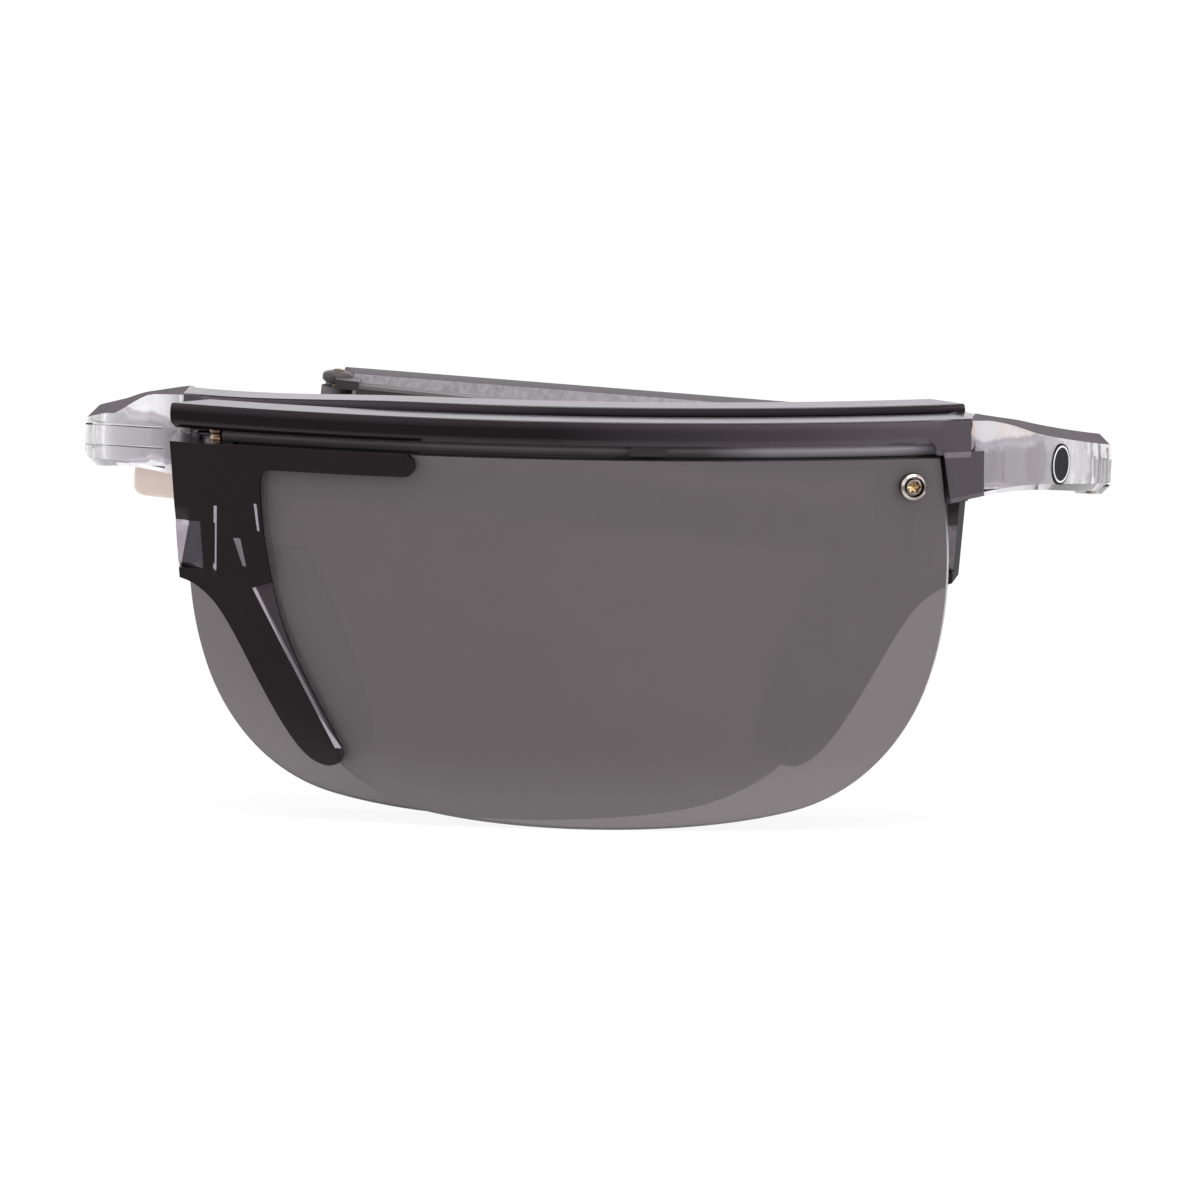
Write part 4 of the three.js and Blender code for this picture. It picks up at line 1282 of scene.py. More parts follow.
        # Level cuts at the smoke border and at the foot of the painted highlight band.
        for level in (self.smoke_step, self.smoke_step - self.painted_highlight_band):
            shaper.cut((0.0, 0.0, level), UP)
        finishes = [self.own("frame"), self.own("top"), self.own("bar"), self.palette["edge"],
                    self.palette["window_mid"]]
        piece = shaper.piece(self.half.node("brow_bar"), *finishes)
        carved(piece, [self.lens_tab()], "UNION")
        gap = self.barrel_height / 2 + self.seat
        grooves = [self.groove(place) for place in self.groove_places] if self.half is Half.REAR else []
        carved(piece, [
            self.drum(self.end.radius + self.seat, -gap, gap),
            self.drum(self.hinge_pin + self.pin_play, -self.hinge_height, self.pin_top + self.pin_play),
            *grooves,
        ], "DIFFERENCE")
        self.dress(piece)
        rounded(piece, self.rounding)
        self.done(piece, Slot.FRAME, "brow_frame")

    def dress(self, piece: Object) -> None:
        """Gives the bar its smoke, paints shade on upward faces of bar and endpiece, and paints a highlight band
        under the bar's end.

        Args:
            piece: The brow frame.
        """
        for polygon in piece.data.polygons:
            offset = self.arc.rest.transposed() @ (polygon.center - self.arc.centre)
            across = self.half.side * offset.x
            border = self.end.smoke_end if polygon.center.z > self.smoke_step else self.end.smoke_foot
            smoky = across < (border - self.smoke_back if polygon.normal.y > FACING else border)
            # Upward faces get the darker colours: painted shade.
            if polygon.normal.z > FACING:
                polygon.material_index = FrameSkin.TOP if smoky else FrameSkin.EDGE
            else:
                polygon.material_index = FrameSkin.BAR if smoky else FrameSkin.CLEAR
            # A thin band under the bar's end, between cheek and smoke border, gets a painted highlight.
            lit = self.smoke_step - self.painted_highlight_band < polygon.center.z < self.smoke_step
            if lit and polygon.normal.y < -FACING and self.cheek_wall[0] < across < self.end.smoke_end:
                polygon.material_index = FrameSkin.LIT

    def build_badge(self) -> None:
        """Plain oval inlay with a thin raised rim, let into the endpiece's outer face."""
        low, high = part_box(self.half.node("badge"))
        centre, across = self.endpiece_at(self.badge_place)
        centre.z = (low.z + high.z) / 2 + self.badge_lift
        surface = centre + across * (self.end.thickness / 2)
        along = Vector((-across.y, across.x, 0.0))
        reach = (high.z - low.z) / 2 * self.badge_growth

        def oval(share: float, rise: float) -> list[Vector]:
            """A ring on the badge, at a share of its reach and a rise over the endpiece."""
            return [surface + across * rise + (along * math.cos(a) + UP * math.sin(a)) * reach * share
                    for a in steps(49, 0.0, 2 * math.pi)[:-1]]

        inlay, rim = Shaper(), Shaper()
        inlay.loft([oval(*point) for point in self.badge_field])
        self.done(inlay.piece("front_badge_field", self.palette["badge"]), Slot.BADGE, "badge")
        rim.loft([oval(*point) for point in self.badge_rim])
        finish_piece(rim.piece("front_badge_rim", self.palette["badge_rim"]), self.half.body, Slot.BADGE)


@dataclass
class Lens(HalfPiece):
    """The tinted lens of a half front."""

    lens_rim: float = 0.45 * MM
    rim_angle: float = 50.0

    def outline(self) -> list[Flat]:
        """The lens's edge, from its temporal top corner round the bottom.

        Returns:
            The edge's points.
        """
        def at(across: float, up: float) -> Flat:
            """A point in shares of the lens's reach to one side and of its height."""
            return (across * (self.lens_nasal if across < 0 else self.lens_temporal), up * self.lens_top)

        runs = [
            [(1.03, 0.762), (1.03, 0.564), (0.972, 0.396)],
            [(0.923, 0.244), (0.798, 0.088), (0.595, 0.046)],
            [(0.337, -0.0137), (-0.101, -0.0137), (-0.389, 0.0335)],
            [(-0.524, 0.056), (-0.652, 0.122), (-0.73, 0.207)],
            [(-0.841, 0.329), (-0.966, 0.534), (-0.993, 0.732)],
        ]
        points = [at(1, 1)]
        for run in runs:
            points += bezier([points[-1], *(at(*point) for point in run)], 24)
        return [*points, at(-1, 1)]

    def build(self) -> None:
        """The lens, bent round the arc, with its rim polished."""
        shaper = Shaper()
        shaper.plate(self.outline(), 0.0, self.lens_thickness)
        self.bend(shaper, -self.lens_nasal, self.lens_temporal)
        piece = shaper.piece(self.half.node("tinted_lens"), self.palette["lens"], self.palette["lens_rim"])
        for polygon in piece.data.polygons:
            across = self.arc.outward(self.half.side * (polygon.center - self.arc.centre).x)
            polygon.material_index = int(abs(polygon.normal.dot(across)) < UPRIGHT)
        rounded(piece, self.lens_rim, 3, self.rim_angle)
        self.done(piece, Slot.LENS, "lens")


@dataclass
class NoseCarrier(HalfPiece):
    """Block at the bridge with its tongue and nose arm, and the soft pad behind the arm."""

    carrier_proud: float = 0.95 * MM
    plate_gap: float = 0.06 * MM
    tongue_height: float = 2.0 * MM
    tongue_end: float = 13.3 * MM
    tongue_fillet: float = 1.0 * MM
    arm_inset: float = 2.3 * MM
    arm_sweep: float = 7.7 * MM
    block_foot: float = 20.9 * MM
    foot_inset: float = 1.0 * MM
    nose_tip: float = 5.0 * MM
    wall_lap: float = 0.2 * MM
    lap_foot: float = 1.21
    nasal_lean: float = 0.7
    arm_crease: tuple[Flat, Flat] = ((-27.92 * MM, 20.4 * MM), (-20.3 * MM, 6.6 * MM))
    arm_reach: float = 3 * MM
    crease_cap: Flat = (1.54 * MM, 0.55 * MM)
    cap_reach: float = 2.5
    crease_slope: float = 0.25
    slope_limit: float = 0.8
    # Sizes of the painted highlights along the crease, on the wall beside the lens and on a crescent of the block's
    # face.
    painted_highlight_width: float = 0.3 * MM
    painted_highlight_tilt: float = 1 / 3
    painted_highlight_share: float = 0.45
    wall_painted_highlight: tuple[Flat, ...] = ((-27.85 * MM, 27.9 * MM), (-27.5 * MM, 25.5 * MM), (-27.3 * MM, 25.5 * MM),
                                    (-27.6 * MM, 27.9 * MM))
    crescent: tuple[Flat, ...] = ((-29.69 * MM, 24.75 * MM), (-28.8 * MM, 22.3 * MM), (-28.5 * MM, 22.3 * MM),
                                  (-29.05 * MM, 24.75 * MM))
    facet_heights: Flat = (26.0 * MM, 21.9 * MM)
    facet_places: Triple = (-35.3 * MM, -33.75 * MM, -32.75 * MM)
    facet_leans: Flat = (-0.18, 0.08)
    facet_depths: Triple = (1.2 * MM, 0.9 * MM, 0.35 * MM)
    facet_ledge: float = 0.12 * MM
    ridge_x: float = -31.36 * MM
    ridge_width: float = 0.14 * MM
    # How far the ridge's painted highlight reaches above the facet's top.
    ridge_painted_highlight: float = 1.5 * MM
    ridge_rise: float = 0.5 * MM
    ridge_foot: float = 0.2 * MM
    ridge_cut: float = 0.3 * MM
    pad_run: Flat = (-30.3 * MM, -17.1 * MM)
    block_rounding: float = 0.22 * MM
    pad_rounding: float = 0.5 * MM
    edge_angle: float = 40.0

    def build(self) -> None:
        """Builds and dresses the block and its pad."""
        self.build_block()
        self.build_pad()

    def arm(self, across: float, up: float) -> Flat:
        """A point of the nose arm, in shares of its sweep and of its height to the block's foot."""
        return (self.arm_inset - self.lens_nasal + across * self.arm_sweep,
                self.nose_tip + up * (self.block_foot - self.nose_tip))

    def block_outline(self) -> list[Flat]:
        """Edge of block, tongue and nose arm, from the block's nasal top corner.

        Returns:
            The edge's points.
        """
        top = self.lens_top + self.seat / 2
        under = top - self.tongue_height
        radius = self.tongue_height / 2
        centre = (-self.tongue_end - radius, top - radius)
        inner = self.arm_inset - self.lens_nasal
        fillet = self.tongue_fillet
        points = [(-self.nasal_end, top)]
        points += [(centre[0] + radius * math.sin(a), centre[1] + radius * math.cos(a))
                   for a in steps(13, 0.0, math.pi)]
        points.append((inner + fillet, under))
        points += bezier([points[-1], (inner + fillet / 3, under), (inner, under - fillet / 3),
                          (inner, under - fillet)], 6)
        runs = [
            [(0, 1.32), (0.104, 1.07), (0.234, 0.836)],
            [(0.403, 0.566), (0.753, 0.315), (1, 0.088)],
            [(1.052, 0.031), (0.922, 0), (0.818, 0)],
            [(0.584, 0.013), (0.429, 0.126), (0.299, 0.214)],
            [(-0.026, 0.453), (-0.221, 0.667), (-0.429, 0.811)],
        ]
        for run in runs:
            points += bezier([points[-1], *(self.arm(*point) for point in run)], 10)
        foot = (self.foot_inset - self.nasal_end, self.block_foot)
        points += bezier([points[-1], self.arm(-0.558, 0.906), self.arm(-0.74, 0.981), foot], 8)
        return points

    def build_block(self) -> None:
        """Block at the bridge with its tongue and nose arm in front of the lens."""
        front, plate_back = -self.carrier_proud, -self.plate_gap
        wall = -self.lens_nasal - self.seat
        shaper = Shaper()
        shaper.plate(self.block_outline(), front, plate_back)
        shaper.slice(RIGHT, [wall])
        behind = [face for face in shaper.bm.faces
                  if all(abs(v.co.y - plate_back) < MERGE for v in face.verts)
                  and face.calc_center_median().x < wall]
        shaper.deepen(behind, self.back_depth)
        bmesh.ops.delete(shaper.bm, geom=[face for face in behind if face.is_valid], context="FACES")
        shaper.clean()
        self.slope_arm(shaper, front)
        self.cut_facet(shaper, front)
        self.raise_ridge(shaper, front)
        self.add_back_plate(shaper, wall)
        shaper.clean()
        # Walls facing the block's nasal end get painted shade.
        for face in shaper.bm.faces:
            if face.normal.x < -self.nasal_lean:
                face.material_index = BlockSkin.RECESS
        self.bend(shaper, -self.nasal_end, -self.tongue_end)
        # The facets' painted highlight is bright on the front block and mid on the rear.
        facet = "window" if self.half is Half.FRONT else "window_mid"
        keys = ("carrier", facet, "window_dim", "window_mid", "recess", "arm_facet")
        piece = shaper.piece(self.half.node("nose_block"), *(self.palette[key] for key in keys))
        rounded(piece, self.block_rounding, 3, self.edge_angle)
        self.done(piece, Slot.CARRIER, "nose_carrier")

    @staticmethod
    def mark_patch(shaper: Shaper, front: float, corners: Sequence[Flat], skin: BlockSkin) -> None:
        """Gives a patch of the block's face another finish.

        Args:
            shaper: The block's mesh, still flat.
            front: Depth of its face.
            corners: The patch's corners, with the patch to the left of each side.
            skin: The finish.
        """
        sides = []
        for (x0, z0), (x1, z1) in zip(corners, [*corners[1:], corners[0]]):
            inward = Vector((z0 - z1, 0.0, x1 - x0)).normalized()
            place = inward.dot(Vector((x0, 0.0, z0)))
            shaper.slice(inward, [place])
            sides.append((inward, place))
        for face in shaper.bm.faces:
            centre = face.calc_center_median()
            if abs(centre.y - front) < MERGE and all(inward.dot(centre) > place for inward, place in sides):
                face.material_index = skin

    def slope_arm(self, shaper: Shaper, front: float) -> None:
        """Slopes the arm's face towards the lens below a crease, paints sheen on the sloped strip and highlights
        along the crease, on the block's wall beside the lens and on a small crescent, and paints shade on the walls
        that face the lens.

        Args:
            shaper: The block's mesh, still flat.
            front: Depth of its face.
        """
        (x0, z0), (x1, z1) = self.arm_crease
        thin, share = self.painted_highlight_width, self.painted_highlight_share
        top_end = (x0 + self.cap_reach * self.crease_cap[0], z0 + self.cap_reach * self.crease_cap[1])
        painted_highlight_top = (x0 + thin, z0 + thin * self.painted_highlight_tilt)
        middle = (lerp(x0, x1, share), lerp(z0, z1, share))
        low = (lerp(x0, x1, 1 - share / 2), lerp(z0, z1, 1 - share / 2))
        # Patches: sloped strip with painted sheen; crease, its ends, the wall and a crescent with painted
        # highlights.
        for corners, skin in (
                ([(x0, z0), (x1, z1), (x1 + self.arm_reach, z1), top_end], BlockSkin.ARM),
                ([(x0, z0), (x1, z1), (x1 + thin, z1), painted_highlight_top], BlockSkin.LIT),
                ([(x0, z0), middle, painted_highlight_top], BlockSkin.FACET),
                ([low, (x1, z1), (x1 + 2 * thin, z1)], BlockSkin.FACET),
                (self.wall_painted_highlight, BlockSkin.FACET),
                (self.crescent, BlockSkin.LIT)):
            self.mark_patch(shaper, front, corners, skin)
        across = Vector((z0 - z1, 0.0, x1 - x0)).normalized()
        cap = Vector((-self.crease_cap[1], 0.0, self.crease_cap[0])).normalized()
        crease, border = Vector((x0, 0.0, z0)).dot(across), Vector((x0, 0.0, z0)).dot(cap)
        for vert in shaper.bm.verts:
            reach = vert.co.dot(across) - crease
            if abs(vert.co.y - front) < MERGE and reach > MERGE and vert.co.dot(cap) < border - MERGE \
                    and vert.co.z > z1 - MERGE:
                vert.co.y += min(self.crease_slope * reach, self.carrier_proud * self.slope_limit)
        shaper.bm.normal_update()
        # Walls of the arm that face the lens get painted shade.
        for face in shaper.bm.faces:
            if abs(face.normal.y) < UPRIGHT and face.normal.x > FACING and face.calc_center_median().z > z1:
                face.material_index = BlockSkin.RECESS

    def cut_facet(self, shaper: Shaper, front: float) -> None:
        """Slopes the block's outer corner back to a small ledge over its foot, and paints a highlight on the outer
        slope and a dim sheen on the inner one.

        Args:
            shaper: The block's mesh, still flat.
            front: Depth of its face.
        """
        top, foot = self.facet_heights
        edge, crease, inner = self.facet_places
        for place, lean in zip((crease, inner), self.facet_leans):
            normal = Vector((1.0, 0.0, lean))
            shaper.slice(normal, [Vector((place, 0.0, top)).dot(normal.normalized())])
        shaper.slice(UP, [top, foot, foot - self.facet_ledge])
        crease_foot, inner_foot = (place - lean * (foot - top)
                                   for place, lean in zip((crease, inner), self.facet_leans))
        # The outer slope gets a painted highlight, the inner slope a dim painted sheen.
        for face in shaper.bm.faces:
            x, y, z = face.calc_center_median()
            if abs(y - front) < MERGE and foot - self.facet_ledge < z < top:
                share = (z - top) / (foot - top)
                if x < lerp(crease, crease_foot, share):
                    face.material_index = BlockSkin.FACET
                elif x < lerp(inner, inner_foot, share) and z > foot:
                    face.material_index = BlockSkin.DIM
        outer_depth, crease_depth, top_depth = self.facet_depths
        for vert in shaper.bm.verts:
            x, y, z = vert.co
            if abs(y - front) > MERGE or x > inner_foot - MERGE:
                continue
            if abs(z - foot) < MERGE and x < crease_foot:
                vert.co.y += lerp(crease_depth, outer_depth, within((x - crease_foot) / (edge - crease_foot)))
            elif abs(z - foot) < MERGE:
                vert.co.y += lerp(crease_depth, 0.0, within((x - crease_foot) / (inner_foot - crease_foot)))
            elif abs(z - top) < MERGE and x < crease - MERGE:
                vert.co.y += top_depth

    def raise_ridge(self, shaper: Shaper, front: float) -> None:
        """A fine upright ridge on the block's face, with a painted highlight along it.

        Args:
            shaper: The block's mesh, still flat.
            front: Depth of its face.
        """
        width, foot = self.ridge_width, self.facet_heights[1] - self.ridge_foot
        top, painted_highlight_top = (self.facet_heights[0] + over for over in (self.ridge_rise, self.ridge_painted_highlight))
        shaper.slice(RIGHT, [self.ridge_x - width, self.ridge_x, self.ridge_x + width])
        shaper.slice(UP, [painted_highlight_top, self.facet_heights[1] - self.ridge_cut])
        # The ridge's faces get a painted highlight.
        for face in shaper.bm.faces:
            x, y, z = face.calc_center_median()
            if abs(y - front) < MERGE and abs(x - self.ridge_x) < width and foot < z < painted_highlight_top:
                face.material_index = BlockSkin.FACET
        for vert in shaper.bm.verts:
            x, y, z = vert.co
            if abs(y - front) < MERGE and abs(x - self.ridge_x) < MERGE and foot < z < top:
                vert.co.y -= width

    def add_back_plate(self, shaper: Shaper, wall: float) -> None:
        """The part of block and tongue that laps behind the lens.

        Args:
            shaper: The block's mesh, still flat.
            wall: Where the block's side meets the lens.
        """
        limit = self.arm(0, self.lap_foot)[1]
        start = wall - self.wall_lap
        outline = [point for point in self.block_outline() if point[1] > limit and point[0] > start]
        top = outline[0][1]
        shaper.plate([(start, top), *outline, (outline[-1][0], limit), (start, limit)],
                     self.lens_thickness + self.seat - self.lap, self.back_depth)

    def pad_outline(self) -> list[Flat]:
        """Edge of the soft pad behind the nose arm.

        Returns:
            The edge's points.
        """
        points = [self.arm(0.065, 1.19), self.arm(0.545, 1.17)]
        runs = [
            [(0.883, 0.88), (1.18, 0.535), (1.31, 0.239)],
            [(1.35, 0.1), (1.26, 0.019), (1.026, 0.013)],
            [(0.766, 0.025)],
            [(0.532, 0.063), (0.39, 0.189), (0.26, 0.277)],
            [(-0.039, 0.503), (-0.208, 0.679), (-0.39, 0.811)],
        ]
        for run in runs:
            ends = [self.arm(*point) for point in run]
            points += bezier([points[-1], *ends]) if len(ends) > 1 else ends
        return points

    def build_pad(self) -> None:
        """Soft pad behind the lens."""
        shaper = Shaper()
        shaper.plate(self.pad_outline(), self.lens_thickness + self.seat, self.back_depth)
        self.bend(shaper, *self.pad_run)
        piece = shaper.piece(self.half.node("soft_nose_pad"), self.palette["pad"])
        rounded(piece, self.pad_rounding, 3, self.edge_angle)
        self.done(piece, Slot.PAD, "nose_pad")


@dataclass
class Rail(HalfPiece):
    """The curved strip under a bar that the halves slide along."""

    rail_section: Flat = (0.4 * MM, 0.6 * MM)
    rail_depth: float = 1.9 * MM
    rail_rise: float = 0.63 * MM
    rail_ends: Flat = (-30.9 * MM, 33.2 * MM)
    rail_steps: int = 57
    rounding: float = 0.05 * MM

    def build(self) -> None:
        """The strip, as an oval carried round the arc."""
        middle = self.arc.radius - self.rail_depth
        rings = [
            [self.arc.turned(angle, self.rail_depth + self.rail_section[0] * math.cos(a),
                             self.lens_top + self.rail_rise + self.rail_section[1] * math.sin(a))
             for a in steps(17, 0.0, 2 * math.pi)[:-1]]
            for angle in steps(self.rail_steps, *(math.asin(end / middle) for end in self.rail_ends))]
        shaper = Shaper()
        shaper.loft(rings)
        piece = shaper.piece(self.half.node("rail_wire"), self.palette["rail"])
        rounded(piece, self.rounding)
        self.done(piece, Slot.RAIL, "rail")


@dataclass
class Fasteners(HalfPiece):
    """Lens screw in its bush, bridge screw and hinge screw of a half front."""

    bush_proud: float = 0.95 * MM
    bush_barrel: float = 0.95 * MM
    bush_bore: float = 0.62 * MM
    bush_step: float = 0.3 * MM
    flange: float = 1.17 * MM
    flange_foot: float = 0.02 * MM
    flange_edge: float = 0.2 * MM
    mouth_depth: float = 0.15 * MM
    bush_rounding: float = 0.05 * MM
    head_radius: float = 0.72 * MM
    head_play: float = 0.12 * MM
    head_height: float = 0.5 * MM
    head_edge: float = 0.08 * MM
    head_face: float = 0.92
    head_rounding: float = 0.03 * MM
    edge_angle: float = 50.0
    shank: float = 0.42 * MM
    lobes: int = 6
    lobe_steps: int = 60
    recess_shares: Flat = (0.72, 0.12)
    recess_taper: Flat = (0.96, 0.3)
    recess_depth: float = 0.45 * MM
    recess_point: float = 0.15 * MM
    recess_reach: float = 0.9
    bridge_pitch: float = 0.65 * MM
    hinge_thread: float = 0.45
    thread_root: float = 0.75
    thread_flank: float = 0.95
    thread_neck: float = 0.8
    thread_tip: float = 0.02 * MM

    def build(self) -> None:
        """Builds and dresses the half's screws."""
        centre = self.arc.bent(self.screw_x, 0.0, self.screw_z)
        axis = self.arc.outward(self.screw_x)
        self.build_bush(centre, axis)
        self.build_screw(centre, axis, self.bush_proud - self.head_play)
        self.build_bridge_screw()
        self.build_hinge_screw()

    def build_bush(self, centre: Vector, axis: Vector) -> None:
        """Flanged bush in the lens, with its side walls painted dark as shade.

        Args:
            centre: On the lens's face.
            axis: Out of the face.
        """
        proud, mouth = self.bush_proud, self.head_radius + self.head_play
        shaper = Shaper()
        shaper.lathe([
            (self.bush_bore, -self.lens_thickness), (self.bush_barrel, -self.lens_thickness),
            (self.bush_barrel, self.flange_foot), (self.flange, self.flange_foot),
            (self.flange, proud - self.flange_edge), (self.flange - self.flange_edge, proud),
            (self.head_radius + self.flange_edge, proud), (mouth, proud - self.mouth_depth),
            (mouth, self.bush_step), (self.bush_bore, self.bush_step)], centre, axis, 56)
        piece = shaper.piece(self.half.node("lens_ring"), self.palette["steel"], self.palette["brass_dark"])
        # Faces across the axis get steel; side walls get dark brass, painted shade.
        for polygon in piece.data.polygons:
            polygon.material_index = int(abs(polygon.normal.dot(axis)) < UPRIGHT)
        rounded(piece, self.bush_rounding)
        self.done(piece, Slot.STEEL, "lens_bush")

    def build_screw(self, centre: Vector, axis: Vector, top: float) -> None:
        """Screw with a lobed recess in its head, whose walls are painted dark as shade.

        Args:
            centre: On the lens's face.
            axis: Out of the face.
            top: Height of the head's face.
        """
        radius, count = self.head_radius, self.lobe_steps
        mean, wave = self.recess_shares
        turns = [2 * math.pi * i / count for i in range(count)]
        lobed = [radius * (mean + wave * math.cos(self.lobes * a)) for a in turns]
        spin = axis.to_track_quat("Z", "Y").to_matrix()

        def ring(radii: Sequence[float], height: float) -> list[Vector]:
            """A ring round the screw, with a radius for each turn."""
            return [centre + spin @ Vector((r * math.cos(a), r * math.sin(a), height)) for r, a in zip(radii, turns)]

        wall, point = ([r * share for r in lobed] for share in self.recess_taper)
        floor, under = top - self.recess_depth, top - self.head_height
        shaper = Shaper()
        shaper.loft([
            ring([self.shank] * count, -self.back_depth + self.seat), ring([self.shank] * count, under),
            ring([radius] * count, under), ring([radius] * count, top - self.head_edge),
            ring([radius * self.head_face] * count, top), ring(lobed, top), ring(wall, floor),
            ring(point, floor - self.recess_point),
        ])
        piece = shaper.piece(self.half.node("lens_fastener"), self.palette["steel"], self.palette["brass"],
                             self.palette["brass_dark"])
        # Recess walls get dark brass as painted shade; the recess floor gets plain brass and the head steel.
        for polygon in piece.data.polygons:
            offset = polygon.center - centre
            height = offset.dot(axis)
            if (offset - axis * height).length < radius * self.recess_reach and height < top - MERGE:
                facing = polygon.normal.dot(axis) > UPRIGHT
                polygon.material_index = ScrewSkin.FLOOR if facing else ScrewSkin.WALL
            else:
                polygon.material_index = ScrewSkin.HEAD
        rounded(piece, self.head_rounding, 1, self.edge_angle)
        self.done(piece, Slot.BRASS, "lens_screw")

    def build_bridge_screw(self) -> None:
        """Threaded post that ties the block to the bar."""
        low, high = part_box(self.half.node("bridge_screw"))
        centre = (low + high) / 2
        foot = Vector((centre.x, centre.y, low.z))
        post = self.threaded("bridge_post", "brass_dull", foot, UP, (high.x - low.x) / 2, (0.0, high.z - low.z),
                             pitch=self.bridge_pitch)
        self.done(post, Slot.BRASS, "bridge_screw")

    def build_hinge_screw(self) -> None:
        """Hinge screw, smooth above and threaded below."""
        pin = self.threaded("hinge_pin", "steel", self.hinge, self.hinge_axis, self.hinge_pin,
                            (-self.hinge_foot, self.pin_top), self.hinge_thread)
        self.done(pin, Slot.STEEL, "hinge_screw")

    def threaded(self, name: str, finish: str, centre: Vector, axis: Vector, radius: float, ends: Flat,
                 thread_share: float = 1.0, pitch: float = 0.3 * MM) -> Object:
        """A rod with thread rings over its lower part.

        Args:
            name: Name of the piece, without its half.
            finish: Its finish.
            centre: On the rod's axis, at height 0.
            axis: Direction of the rod.
            radius: Outer radius.
            ends: Heights of its foot and top.
            thread_share: Share of the length that is threaded.
            pitch: Height of a thread ring.

        Returns:
            The piece.
        """
        low, high = ends
        thread_top, tip = lerp(low, high, thread_share), high - self.thread_tip
        root, flank, neck = (radius * share for share in (self.thread_root, self.thread_flank, self.thread_neck))
        profile = [(0.0, low)]
        height = low
        while height + pitch < thread_top:
            profile += [(root, height), (flank, height + pitch / 5), (radius, height + pitch / 2),
                        (flank, height + pitch * 4 / 5)]
            height += pitch
        profile += [(neck, height), (radius, min(height + pitch / 2, tip)), (radius, tip), (0.0, high)]
        shaper = Shaper()
        shaper.lathe(profile, centre, axis, 32)
        return shaper.piece(self.half.node(name), self.palette[finish])


@dataclass
class HalfFront:
    """One half of the front: brow frame, lens, nose carrier and pad, rail, screws and badge."""

    half: Half
    palette: Palette

    def build(self) -> None:
        """Builds and dresses every piece of the half."""
        brow = BrowFrame(self.half, self.palette)
        brow.build()
        for kind in (Lens, NoseCarrier, Rail, Fasteners):
            kind(self.half, self.palette).build()
        if self.half is Half.FRONT:
            brow.build_badge()


